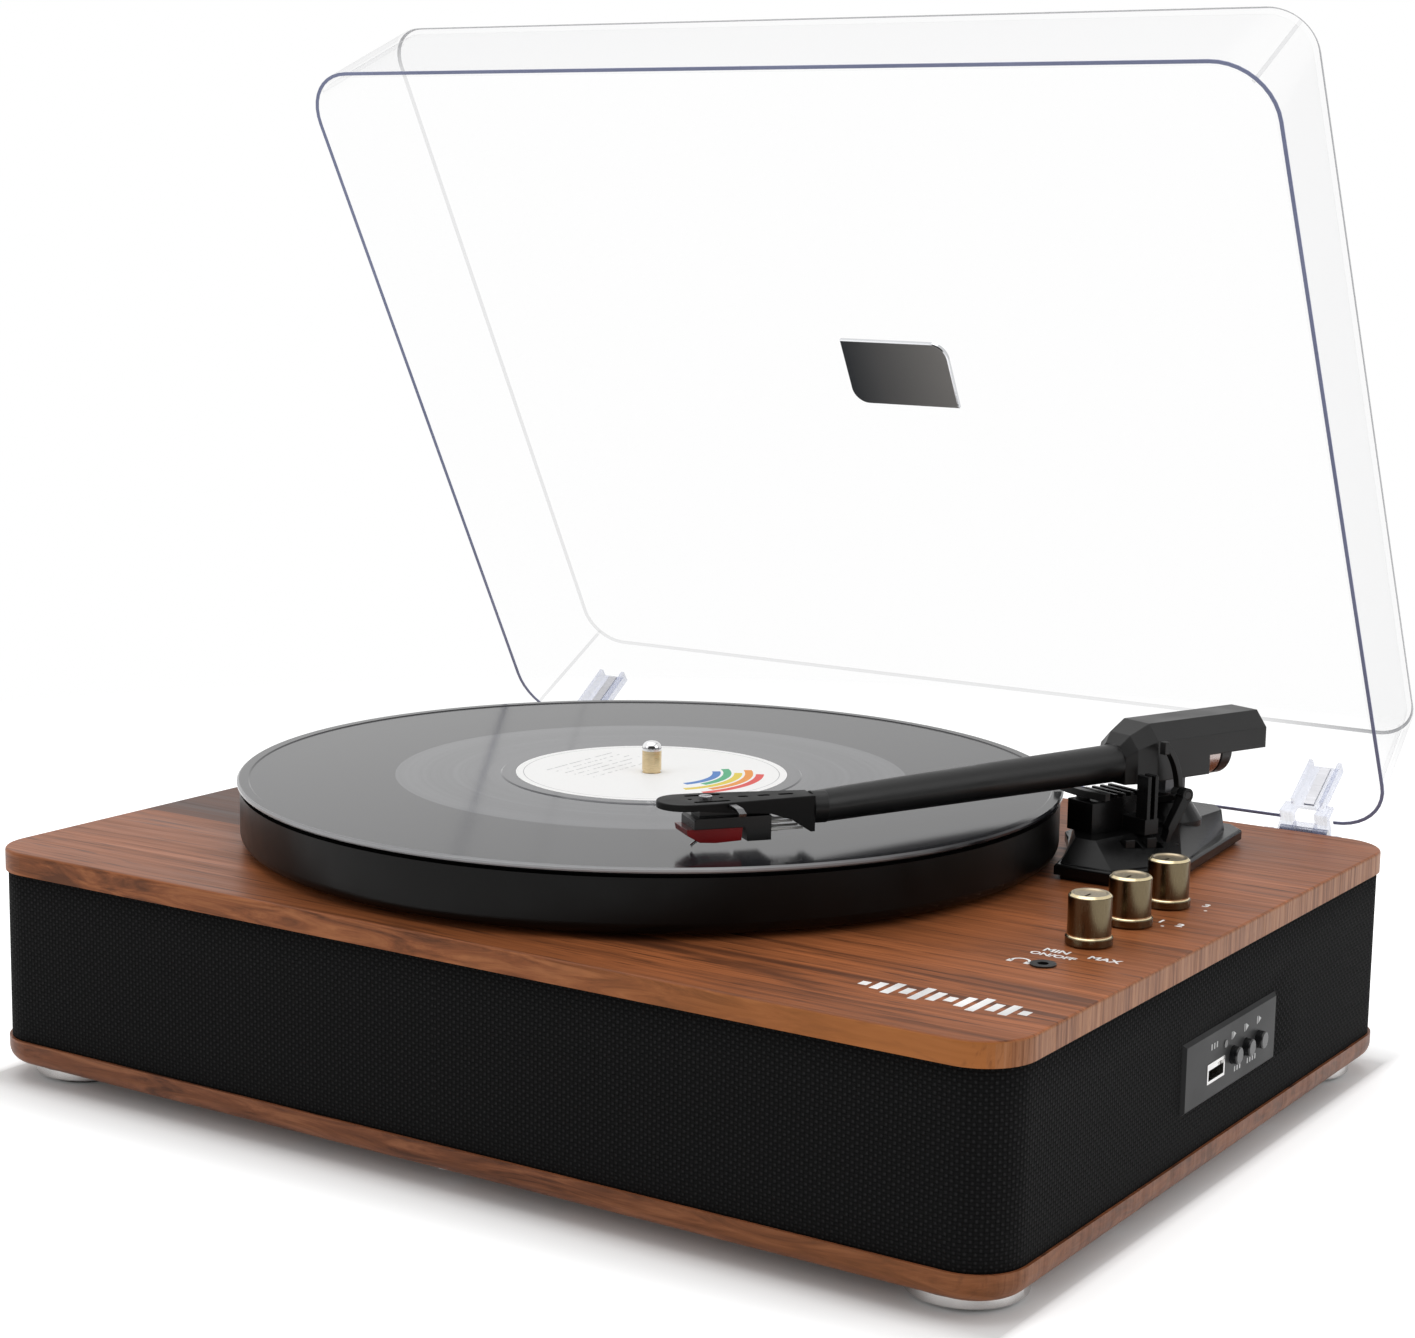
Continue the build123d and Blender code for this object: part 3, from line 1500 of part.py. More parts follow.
# Circuit board that carries the potentiometers and the jack
control_front = jack_y - control_board_margin
control_back = knob_mid_y + knob_pitch + control_board_margin
with BuildPart() as control_board:
    with BuildSketch(level(under_z - pot_h - board_t)):
        with Locations((knob_x, (control_front + control_back) / 2)):
            Rectangle(control_board_w, control_back - control_front)
    extrude(amount=board_t)
control_board.part.label = "control_board"
export_step(control_board.part, "parts/control_board.step")

# Side panel: bevelled flange on the ring, boss in its window, openings for socket, lamp and buttons
panel_x = frame_w / 2
panel_back = panel_x - boss_l
with BuildPart() as side_panel:
    with BuildSketch(along(panel_x)):
        with Locations((panel_y, panel_z)):
            Rectangle(panel_w, panel_h)
    extrude(amount=panel_t)
    chamfer(side_panel.faces().sort_by(Axis.X)[-1].edges(), panel_bevel)
    with BuildSketch(along(panel_x)):
        with Locations((panel_y, panel_z)):
            Rectangle(boss_w, boss_h)
    extrude(amount=-boss_l)
    with BuildSketch(along(panel_back)):
        with Locations((usb_y, usb_z)):
            Rectangle(usb_w, usb_h)
        with Locations((led_y, led_z)):
            Circle(led_r)
        with Locations(*button_places.values()):
            Circle(button_r + button_fit)
    extrude(amount=boss_l + panel_t, mode=Mode.SUBTRACT)
    with BuildSketch(along(panel_back)):
        with Locations(*button_places.values()):
            Circle(button_flange_r + button_flange_fit)
    extrude(amount=button_bore_l, mode=Mode.SUBTRACT)
side_panel.part.label = "side_panel"
export_step(side_panel.part, "parts/side_panel.step")

# Buttons in the side panel, each held by a flange behind it
flange_x = panel_back + button_bore_l - button_seat
for name, (y, z) in button_places.items():
    with BuildPart() as button:
        with BuildSketch(along(flange_x)):
            with Locations((y, z)):
                Circle(button_flange_r)
        extrude(amount=-button_flange_t)
        with BuildSketch(along(flange_x)):
            with Locations((y, z)):
                Circle(button_r)
        extrude(amount=panel_x + panel_t + button_proud - flange_x)
        fillet(button.edges().group_by(Axis.X)[-1], button_edge)
    button.part.label = name
    export_step(button.part, f"parts/{name}.step")

# Board behind the side panel with one push switch for each button
panel_board_x = panel_back - panel_board_gap
with BuildPart() as panel_board:
    with BuildSketch(along(panel_board_x)):
        with Locations((panel_y, panel_z)):
            Rectangle(panel_board_w, panel_board_h)
    extrude(amount=-board_t)
    with BuildSketch(along(panel_board_x)):
        with Locations(*button_places.values()):
            Rectangle(tact_w, tact_w)
    extrude(amount=tact_h)
    with BuildSketch(along(panel_board_x + tact_h)):
        with Locations(*button_places.values()):
            Circle(tact_pin_r)
    extrude(amount=tact_pin_h)
panel_board.part.label = "panel_board"
export_step(panel_board.part, "parts/panel_board.step")

# Socket shell with its contact tongue
usb_l = panel_x + panel_t + usb_proud - panel_board_x
with BuildPart() as usb_socket:
    with BuildSketch(along(panel_board_x)):
        with Locations((usb_y, usb_z)):
            Rectangle(usb_w, usb_h)
    extrude(amount=usb_l)
    with BuildSketch(along(panel_board_x + usb_wall)):
        with Locations((usb_y, usb_z)):
            Rectangle(usb_w - 2 * usb_wall, usb_h - 2 * usb_wall)
    extrude(amount=usb_l - usb_wall, mode=Mode.SUBTRACT)
    with BuildSketch(along(panel_board_x + usb_wall)):
        with Locations((usb_y, usb_z + (usb_h - 2 * usb_wall - usb_tongue_t) / 2 - usb_tongue_gap / 2)):
            Rectangle(usb_w - 2 * usb_wall - usb_tongue_gap, usb_tongue_t)
    extrude(amount=usb_l - 2 * usb_wall)
usb_socket.part.label = "usb_socket"
export_step(usb_socket.part, "parts/usb_socket.step")

# Lamp lens in the side panel
with BuildPart() as led_lens:
    with BuildSketch(along(panel_x + panel_t + led_proud)):
        with Locations((led_y, led_z)):
            Circle(led_r)
    extrude(amount=-led_l)
    fillet(led_lens.edges().group_by(Axis.X)[-1], led_proud)
led_lens.part.label = "led_lens"
export_step(led_lens.part, "parts/led_lens.step")

# Rear panel with its line sockets and power inlet
rear_y = frame_d / 2
rear_face = rear_y + rear_panel_t
rca_places = [(rear_x + rca_x + side * rca_pitch / 2, rear_z) for side in (-1, 1)]
inlet_place = (rear_x + inlet_x, rear_z)
with BuildPart() as rear_panel:
    with BuildSketch(across(rear_y)):
        with Locations((rear_x, rear_z)):
            Rectangle(rear_panel_w, rear_panel_h)
    extrude(amount=-rear_panel_t)
    with BuildSketch(across(rear_y)):
        with Locations((rear_x, rear_z)):
            Rectangle(rear_boss_w, rear_boss_h)
    extrude(amount=boss_l)
    with BuildSketch(across(rear_face)):
        with Locations(*rca_places):
            Circle(rca_r)
        with Locations(inlet_place):
            Circle(inlet_r)
    extrude(amount=rear_panel_t + boss_l, mode=Mode.SUBTRACT)
rear_panel.part.label = "rear_panel"
export_step(rear_panel.part, "parts/rear_panel.step")

with BuildPart() as rca_jacks:
    with BuildSketch(across(rear_face + rca_proud)):
        with Locations(*rca_places):
            Circle(rca_r)
    extrude(amount=rca_proud + rear_panel_t + boss_l)
    with BuildSketch(across(rear_face + rca_proud)):
        with Locations(*rca_places):
            Circle(rca_bore_r)
    extrude(amount=rca_bore_l, mode=Mode.SUBTRACT)
rca_jacks.part.label = "rca_jacks"
export_step(rca_jacks.part, "parts/rca_jacks.step")

with BuildPart() as dc_inlet:
    with BuildSketch(across(rear_face + inlet_proud)):
        with Locations(inlet_place):
            Circle(inlet_r)
    extrude(amount=inlet_l)
    with BuildSketch(across(rear_face + inlet_proud)):
        with Locations(inlet_place):
            Circle(inlet_bore_r)
            Circle(inlet_pin_r, mode=Mode.SUBTRACT)
    extrude(amount=inlet_bore_l, mode=Mode.SUBTRACT)
dc_inlet.part.label = "dc_inlet"
export_step(dc_inlet.part, "parts/dc_inlet.step")

# Amplifier board on standoffs, with its capacitors and heat sink
amp_z = frame_z + standoff_h
with BuildPart() as amplifier_board:
    with BuildSketch(level(amp_z)):
        with Locations((amp_x, amp_y)):
            Rectangle(amp_w, amp_d)
    extrude(amount=board_t)
    with BuildSketch(level(frame_z)):
        with Locations((amp_x, amp_y)):
            with GridLocations(amp_w - 2 * standoff_inset, amp_d - 2 * standoff_inset, 2, 2):
                Circle(standoff_r)
    extrude(amount=standoff_h)
    with BuildSketch(level(amp_z + board_t)):
        with Locations((amp_x - amp_w / 4, amp_y)):
            with GridLocations(capacitor_pitch, capacitor_pitch, 2, 2):
                Circle(capacitor_r)
    extrude(amount=capacitor_h)
    with BuildSketch(level(amp_z + board_t)):
        with Locations((amp_x + amp_w / 4, amp_y)):
            Rectangle(heat_sink_w, heat_sink_t)
    extrude(amount=heat_sink_h)
    with BuildSketch(level(amp_z + board_t + heat_sink_h)):
        with Locations((amp_x + amp_w / 4, amp_y)):
            with GridLocations(heat_sink_w / heat_sink_slots, 0, heat_sink_slots, 1):
                Rectangle(heat_sink_slot_w, heat_sink_t)
    extrude(amount=-heat_sink_h + heat_sink_slot_w, mode=Mode.SUBTRACT)
amplifier_board.part.label = "amplifier_board"
export_step(amplifier_board.part, "parts/amplifier_board.step")

# Hinge brackets screwed to the back edge of the top board
bracket_y = plinth_d / 2
with BuildPart() as hinge_bases:
    for x in hinge_sides:
        with BuildSketch(across(bracket_y)):
            with Locations((x, top_z - bracket_top - bracket_h / 2)):
                RectangleRounded(bracket_w, bracket_h, bracket_t)
        extrude(amount=-bracket_t)
        with BuildSketch(along(x - barrel_outer_half_l - barrel_gap)):
            with Locations((hinge_y, hinge_z)):
                Circle(barrel_r + barrel_gap)
        extrude(amount=2 * (barrel_outer_half_l + barrel_gap), mode=Mode.SUBTRACT)
        with BuildSketch(along(x - barrel_half_l)):
            Polygon(
                (bracket_y, hinge_z),
                (bracket_y, hinge_z - 2 * barrel_r),
                (bracket_y + bracket_t, hinge_z - 2 * barrel_r),
                (hinge_y + barrel_r, hinge_z),
                align=None,
            )
            with Locations((hinge_y, hinge_z)):
                Circle(barrel_r)
                Circle(hinge_pin_r, mode=Mode.SUBTRACT)
        extrude(amount=2 * barrel_half_l)
    with BuildSketch(across(bracket_y)):
        with Locations(*hinge_screw_places):
            Circle(hinge_screw_r)
    extrude(amount=-bracket_t, mode=Mode.SUBTRACT)
hinge_bases.part.label = "hinge_bases"
export_step(hinge_bases.part, "parts/hinge_bases.step")

with BuildPart() as hinge_screws:
    with BuildSketch(across(bracket_y + bracket_t)):
        with Locations(*hinge_screw_places):
            Circle(hinge_screw_r)
    extrude(amount=bracket_t + hinge_screw_bite)
    with BuildSketch(across(bracket_y + bracket_t)):
        with Locations(*hinge_screw_places):
            Circle(hinge_screw_head_r)
    extrude(amount=-hinge_screw_head_t)
hinge_screws.part.label = "hinge_screws"
export_step(hinge_screws.part, "parts/hinge_screws.step")

with BuildPart() as hinge_pins:
    for x in hinge_sides:
        with BuildSketch(along(x - barrel_outer_half_l)):
            with Locations((hinge_y, hinge_z)):
                Circle(hinge_pin_r)
        extrude(amount=2 * barrel_outer_half_l)
hinge_pins.part.label = "hinge_pins"
export_step(hinge_pins.part, "parts/hinge_pins.step")

# Dust cover: a drafted tray, shelled
draft_deg = degrees(atan2(lid_draft, lid_h))
with BuildPart() as dust_cover:
    with BuildSketch(lid_plane):
        with Locations((0, -lid_d / 2)):
            RectangleRounded(lid_w, lid_d, lid_corner_r)
    extrude(amount=lid_h, taper=draft_deg)
    fillet(dust_cover.faces().sort_by(lid_plane.location.z_axis)[-1].edges(), lid_edge_r)
    offset(amount=-lid_wall, openings=dust_cover.faces().sort_by(lid_plane.location.z_axis)[0])
dust_cover.part.label = "dust_cover"
export_step(dust_cover.part, "parts/dust_cover.step")

# Hinge leaves on the inside of the cover's back wall, each with two arms under the rim to its barrels
leaf_run = Vector(0, -sin(radians(draft_deg)), cos(radians(draft_deg)))
leaf_in = Vector(0, -cos(radians(draft_deg)), -sin(radians(draft_deg)))
leaf_offset = lid_wall + leaf_seat


def leaf_plane(x, depth):
    """Plane on the cover's back wall at x, facing into the cover, depth above the wall."""
    foot = Vector(x, 0, 0) + leaf_run * leaf_start + leaf_in * (leaf_offset + depth)
    origin = lid_plane.from_local_coords(foot)
    ahead = lid_plane.from_local_coords(foot + leaf_in)
    return Plane(origin, x_dir=(1, 0, 0), z_dir=ahead - origin)


def barrel_plane(x):
    """Plane across the hinge axis at x, drawn as (depth, height) in the cover's own frame."""
    return Plane(lid_plane.from_local_coords(Vector(x, 0, 0)), x_dir=lid_plane.y_dir, z_dir=(1, 0, 0))


barrel_starts = (-barrel_outer_half_l, barrel_half_l + barrel_gap)
barrel_l = barrel_outer_half_l - barrel_half_l - barrel_gap
leaf_front = leaf_offset + leaf_t
leaf_knee = leaf_start + leaf_t
with BuildPart() as hinge_leaves:
    for x in hinge_sides:
        with BuildSketch(leaf_plane(x, 0)):
            with Locations((0, leaf_l / 2)):
                Rectangle(leaf_w, leaf_l)
        extrude(amount=leaf_t)
        with BuildSketch(leaf_plane(x, leaf_t)):
            with Locations((0, leaf_l / 2)):
                with GridLocations(leaf_w - leaf_rib_t, 0, 2, 1):
                    Rectangle(leaf_rib_t, leaf_l)
        extrude(amount=leaf_rib_h - leaf_t)
        for start in barrel_starts:
            with BuildSketch(barrel_plane(x + start)):
                with Locations((lid_axis_back, -lid_axis_drop)):
                    Circle(barrel_r)
                Polygon(
                    (lid_axis_back, -leaf_arm_top),
                    (-leaf_offset - leaf_seat, -leaf_arm_top),
                    (-leaf_offset - leaf_seat - lid_draft * leaf_knee / lid_h, leaf_knee),
                    (-leaf_front - lid_draft * leaf_knee / lid_h, leaf_knee),
                    (-leaf_front - leaf_t, -leaf_arm_floor),
                    (lid_axis_back, -lid_axis_drop),
                    align=None,
                )
                with Locations((lid_axis_back, -lid_axis_drop)):
                    Circle(hinge_pin_r + hinge_pin_fit, mode=Mode.SUBTRACT)
            extrude(amount=barrel_l)
hinge_leaves.part.label = "hinge_leaves"
export_step(hinge_leaves.part, "parts/hinge_leaves.step")

# Metal strips in the leaves
with BuildPart() as hinge_springs:
    for x in hinge_sides:
        with BuildSketch(leaf_plane(x, leaf_t)):
            with Locations((0, leaf_l / 2)):
                Rectangle(spring_w, spring_l)
        extrude(amount=spring_t)
hinge_springs.part.label = "hinge_springs"
export_step(hinge_springs.part, "parts/hinge_springs.step")

# Bare badge plate on the inside of the cover, two opposite corners rounded
badge_z = lid_h - lid_wall - badge_t
with BuildPart() as lid_badge:
    with BuildSketch(lid_plane.offset(badge_z)) as badge_outline:
        with Locations((badge_x, badge_y)):
            Rectangle(badge_w, badge_h)
        corners = badge_outline.vertices().sort_by(Axis.X)
        left = corners[:2].sort_by(lid_plane.location.y_axis)
        right = corners[2:].sort_by(lid_plane.location.y_axis)
        fillet([left[-1], right[0]], badge_corner_r)
    extrude(amount=badge_t)
    chamfer(lid_badge.faces().sort_by(lid_plane.location.z_axis)[0].edges(), badge_edge)
lid_badge.part.label = "lid_badge"
export_step(lid_badge.part, "parts/lid_badge.step")
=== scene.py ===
"""Looks of the record player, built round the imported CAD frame. Lengths are in metres, in the row frame."""

import math

import bmesh
import bpy
from mathutils import Matrix, Vector


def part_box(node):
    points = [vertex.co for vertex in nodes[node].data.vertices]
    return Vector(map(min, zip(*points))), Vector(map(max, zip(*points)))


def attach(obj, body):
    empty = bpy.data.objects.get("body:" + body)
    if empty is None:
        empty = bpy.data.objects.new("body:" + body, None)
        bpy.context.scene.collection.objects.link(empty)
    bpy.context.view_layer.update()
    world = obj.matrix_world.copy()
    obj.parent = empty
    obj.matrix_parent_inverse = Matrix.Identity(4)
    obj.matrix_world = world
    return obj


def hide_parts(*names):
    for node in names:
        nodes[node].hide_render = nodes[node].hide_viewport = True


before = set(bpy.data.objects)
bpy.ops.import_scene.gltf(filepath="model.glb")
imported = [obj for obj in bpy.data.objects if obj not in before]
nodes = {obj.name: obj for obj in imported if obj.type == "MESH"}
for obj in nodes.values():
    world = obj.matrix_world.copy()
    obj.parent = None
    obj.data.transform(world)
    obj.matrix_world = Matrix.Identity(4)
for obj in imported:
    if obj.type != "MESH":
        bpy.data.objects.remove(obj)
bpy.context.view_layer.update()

# Heights from the frame, and places repeated from the CAD source
BOTTOM_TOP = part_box("bottom_board")[1][2]
UNDER_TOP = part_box("top_board")[0][2]
TOP_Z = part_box("top_board")[1][2]
PANEL_Z = sum(corner[2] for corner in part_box("side_panel")) / 2
REAR_Z = sum(corner[2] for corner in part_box("rear_panel")) / 2
PLINTH_Y = -0.0238
PLINTH_HALF_W = 0.205
PLINTH_HALF_D = 0.158
CLOTH_HALF_W = 0.204
CLOTH_HALF_D = 0.157
CLOTH_CORNER = 0.017
CLOTH_THICK = 0.0007
FOOT_X = 0.181
FOOT_Y = 0.132
PANEL_FACE_X = 0.2052
SPINDLE = Vector((-0.0236, PLINTH_Y + 0.0003, 0))
RECORD_TOP = TOP_Z + 0.0245
HINGE = Vector((0, PLINTH_Y + 0.1645, TOP_Z + 0.0032))
HINGE_X = 0.168
HINGE_HALF_GAP = 0.0106
LID_HALF_W = 0.201
LID_HALF_D = 0.158
LID_CORNER = 0.022
LID_OPEN = math.radians(61)
LID_UP = Vector((0, math.sin(LID_OPEN), math.cos(LID_OPEN)))
LID_BACK = Vector((0, math.cos(LID_OPEN), -math.sin(LID_OPEN)))
KNOBS = {"volume": -0.0415, "tone": -0.0108, "source": 0.0199}
KNOB_X = 0.1743


def times(color, *shares):
    """A colour times one share, or times a share for each channel."""
    each = shares if len(shares) == 3 else shares * 3
    return tuple(channel * share for channel, share in zip(color, each))


class Net:
    """A node tree with helpers that add nodes to it."""

    def __init__(self, tree):
        self.tree = tree
        tree.nodes.clear()

    def node(self, kind, **props):
        made = self.tree.nodes.new(kind)
        for key, value in props.items():
            setattr(made, key, value)
        return made

    def feed(self, socket, value):
        if isinstance(value, bpy.types.NodeSocket):
            self.tree.links.new(value, socket)
        elif isinstance(value, tuple) and len(value) == 3 and socket.type == "RGBA":
            socket.default_value = (*value, 1)
        else:
            socket.default_value = value

    def place(self, output="Object"):
        return self.node("ShaderNodeTexCoord").outputs[output]

    def stretch(self, vector, scale, offset=(0, 0, 0)):
        made = self.node("ShaderNodeMapping")
        self.feed(made.inputs["Vector"], vector)
        made.inputs["Scale"].default_value = scale
        made.inputs["Location"].default_value = offset
        return made.outputs[0]

    def noise(self, vector, scale=1.0, detail=2.0, rough=0.5, distort=0.0):
        made = self.node("ShaderNodeTexNoise")
        self.feed(made.inputs["Vector"], vector)
        made.inputs["Scale"].default_value = scale
        made.inputs["Detail"].default_value = detail
        made.inputs["Roughness"].default_value = rough
        made.inputs["Distortion"].default_value = distort
        return made.outputs[0]

    def calc(self, how, a, b=0.0, clamp=False):
        made = self.node("ShaderNodeMath", operation=how, use_clamp=clamp)
        self.feed(made.inputs[0], a)
        self.feed(made.inputs[1], b)
        return made.outputs[0]

    def vector(self, how, a, b=(0, 0, 0)):
        made = self.node("ShaderNodeVectorMath", operation=how)
        self.feed(made.inputs[0], a)
        self.feed(made.inputs[1], b)
        return made.outputs["Value"] if how in ("LENGTH", "DOT_PRODUCT", "DISTANCE") else made.outputs[0]

    def parts(self, vector):
        made = self.node("ShaderNodeSeparateXYZ")
        self.feed(made.inputs[0], vector)
        return made.outputs[0], made.outputs[1], made.outputs[2]

    def join(self, x, y, z=0.0):
        made = self.node("ShaderNodeCombineXYZ")
        for socket, value in zip(made.inputs, (x, y, z)):
            self.feed(socket, value)
        return made.outputs[0]

    def ramp(self, value, *stops):
        made = self.node("ShaderNodeValToRGB")
        self.feed(made.inputs[0], value)
        band = made.color_ramp.elements
        while len(band) < len(stops):
            band.new(0.5)
        for element, (where, color) in zip(band, stops):
            element.position = where
            element.color = (*color, 1) if isinstance(color, tuple) else (color, color, color, 1)
        return made.outputs[0]

    def span(self, value, low, high, to_low=0.0, to_high=1.0):
        made = self.node("ShaderNodeMapRange")
        for socket, v in zip(made.inputs, (value, low, high, to_low, to_high)):
            self.feed(socket, v)
        return made.outputs[0]

    def mix(self, share, a, b, how="MIX"):
        made = self.node("ShaderNodeMix", data_type="RGBA", blend_type=how)
        self.feed(made.inputs[0], share)
        self.feed(made.inputs[6], a)
        self.feed(made.inputs[7], b)
        return made.outputs[2]

    def between(self, value, low, high):
        above = self.calc("GREATER_THAN", value, low)
        return self.calc("MULTIPLY", above, self.calc("LESS_THAN", value, high))


class Shade(Net):
    """A node material with one Principled shader."""

    def __init__(self, name, color, rough, metal=0.0, **sockets):
        self.mat = bpy.data.materials.new(name)
        self.mat.use_nodes = True
        super().__init__(self.mat.node_tree)
        self.shader = self.node("ShaderNodeBsdfPrincipled")
        self.tree.links.new(self.shader.outputs[0], self.node("ShaderNodeOutputMaterial").inputs[0])
        self.put("Base Color", color)
        self.put("Roughness", rough)
        self.put("Metallic", metal)
        for socket, value in sockets.items():
            self.put(socket.replace("_", " "), value)
        self.mat.diffuse_color = (*color, 1)

    def put(self, name, value):
        self.feed(self.shader.inputs[name], value)

    def bump(self, height, strength, distance):
        made = self.node("ShaderNodeBump")
        made.inputs["Strength"].default_value = strength
        made.inputs["Distance"].default_value = distance
        self.feed(made.inputs["Height"], height)
        self.put("Normal", made.outputs[0])
        return made

    def soften(self, bump, radius):
        """Rounds the look of sharp edges under a bump."""
        soft = self.node("ShaderNodeBevel", samples=4)
        soft.inputs["Radius"].default_value = radius
        self.tree.links.new(soft.outputs[0], bump.inputs["Normal"])


def wood(name, tint, dark, shift, edging, plank=None):
    """Oiled veneer: grain along X, dark streaks and flecks, fine pores, and a banded edge.

    edging is how much of the edge's calm corner and upright side lines shows.
    plank is the range of Y that a darker plank covers at the left.
    """
    s = Shade(name, tint, 0.38, Specular_IOR_Level=0.18)
    here = s.place()
    x, y, _ = s.parts(here)
    moved = s.stretch(here, (1, 1, 1), shift)
    sway = s.noise(s.stretch(moved, (2.2, 7, 7)), 1.0, 2.0)
    bent = s.vector("ADD", moved, s.join(0.0, s.calc("MULTIPLY", s.calc("SUBTRACT", sway, 0.5), 0.035)))
    broad = s.noise(s.stretch(bent, (1.6, 24, 9)), 1.0, 3.0, 0.6)
    grain = s.noise(s.stretch(bent, (7, 300, 40)), 1.0, 4.0, 0.68, 0.5)
    pores = s.noise(s.stretch(bent, (34, 1500, 260)), 1.0, 2.0, 0.6)
    streak = s.noise(s.stretch(bent, (3.4, 80, 14), (3.1, 0, 0)), 1.0, 5.0, 0.64, 0.9)
    color = s.ramp(broad, (0.3, times(tint, 0.68)), (0.5, tint), (0.72, times(tint, 1.35)))
    color = s.mix(s.span(grain, 0.4, 0.68, 0.0, 0.62), color, times(tint, 0.42))
    color = s.mix(s.ramp(streak, (0.55, 0.0), (0.66, 0.7), (0.8, 0.95)), color, dark)
    fleck = s.noise(s.stretch(bent, (24, 560, 60), (1.7, 0, 0)), 1.0, 3.0, 0.7, 0.3)
    color = s.mix(s.ramp(fleck, (0.54, 0.0), (0.68, 0.72)), color, times(dark, 0.8))
    if plank:
        wobble = s.calc("ADD", y, s.calc("MULTIPLY", s.calc("SUBTRACT", sway, 0.5), 0.012))
        low, high = plank
        inside = s.calc("MULTIPLY", s.span(y, low, low + 0.0012), s.span(wobble, high, high - 0.006))
        inside = s.calc("MULTIPLY", inside, s.span(x, -0.06, -0.10))
        inside = s.calc("MULTIPLY", inside, s.span(grain, 0.3, 0.7, 0.95, 0.6))
        color = s.mix(inside, color, times(dark, 0.9))
    mottle = s.noise(s.stretch(moved, (20, 60, 170)), 1.0, 5.0, 0.66, 1.4)
    band = s.ramp(mottle, (0.36, times(tint, 0.3)), (0.5, times(tint, 0.7)),
                  (0.64, times(tint, 1.05, 1.2, 1.3)))
    corner = s.calc("MULTIPLY", s.span(x, 0.04, 0.17), s.span(y, -0.12, -0.16))
    band = s.mix(s.calc("MULTIPLY", corner, 0.78 * edging), band, times(tint, 1.2, 1.3, 0.9))
    comb = s.noise(s.stretch(moved, (40, 460, 16)), 1.0, 4.0, 0.66, 0.4)
    lines = s.ramp(comb, (0.34, times(tint, 0.45)), (0.5, times(tint, 0.85, 1.15, 1.6)),
                   (0.66, times(tint, 1.15, 1.7, 2.5)))
    across, _, up = s.parts(s.node("ShaderNodeNewGeometry").outputs["True Normal"])
    band = s.mix(s.span(s.calc("ABSOLUTE", across), 0.55, 0.95, 0.0, edging), band, lines)
    color = s.mix(s.span(up, 0.75, 0.55), color, band)
    color = s.mix(s.span(pores, 0.55, 0.72, 0.0, 0.4), color, times(tint, 0.45))
    s.put("Base Color", color)
    s.put("Roughness", s.span(grain, 0.3, 0.75, 0.34, 0.48))
    s.bump(s.calc("ADD", grain, s.calc("MULTIPLY", pores, 0.6)), 0.1, 0.0004)
    return s.mat


def plastic(name, color, rough, grain=0.06, size=2600.0, edge=0.0, shine=0.5):
    """Moulded plastic: fine spark texture, slightly uneven gloss."""
    s = Shade(name, color, rough, Specular_IOR_Level=shine)
    here = s.place()
    spark = s.noise(here, size, 2.0, 0.6)
    cloud = s.noise(here, 60.0, 3.0, 0.55)
    s.put("Base Color", s.mix(s.span(cloud, 0.35, 0.7), times(color, 0.85), times(color, 1.2)))
    s.put("Roughness", s.span(cloud, 0.3, 0.7, rough * 0.85, min(1.0, rough * 1.15)))
    made = s.bump(spark, grain, 0.0003)
    if edge:
        s.soften(made, edge)
    return s.mat


def metal(name, color, rough, lines=None, wear=0.15, edge=0.0):
    """Metal with turned or drawn lines: lines is the stretch of the noise that draws them."""
    s = Shade(name, color, rough, 1.0)
    here = s.place()
    cloud = s.noise(here, 90.0, 3.0, 0.6)
    s.put("Base Color", s.mix(s.span(cloud, 0.3, 0.75), times(color, 1 - wear), color))
    fine = s.noise(s.stretch(here, lines), 1.0, 3.0, 0.6) if lines else s.noise(here, 1800.0, 2.0)
    s.put("Roughness", s.span(fine, 0.3, 0.7, rough * 0.75, rough * 1.3))
    made = s.bump(fine, 0.05, 0.0002)
    if edge:
        s.soften(made, edge)
    return s.mat


def around(s, centre):
    """Radius, angle and offsets from an upright axis, as sockets."""
    x, y, _ = s.parts(s.vector("SUBTRACT", s.place(), tuple(centre)))
    return s.vector("LENGTH", s.join(x, y)), s.calc("ARCTAN2", y, x), x, y


def turned(name, color, rough, centres, pitch=0.0004):
    """Lathe-turned metal with fine rings about the nearest of several upright axes."""
    s = Shade(name, color, rough, 1.0)
    here = s.place()
    radius = None
    for centre in centres:
        x, y, _ = s.parts(s.vector("SUBTRACT", here, tuple(centre)))
        r = s.vector("LENGTH", s.join(x, y))
        radius = r if radius is None else s.calc("MINIMUM", radius, r)
    rings = s.noise(s.join(s.calc("MULTIPLY", radius, 1 / pitch), 0.0), 1.0, 3.0, 0.6)
    cloud = s.noise(here, 120.0, 3.0)
    s.put("Base Color", s.mix(s.span(cloud, 0.35, 0.7), times(color, 0.86), color))
    s.put("Roughness", s.span(rings, 0.3, 0.7, rough * 0.7, rough * 1.3))
    s.bump(rings, 0.12, 0.0002)
    return s.mat


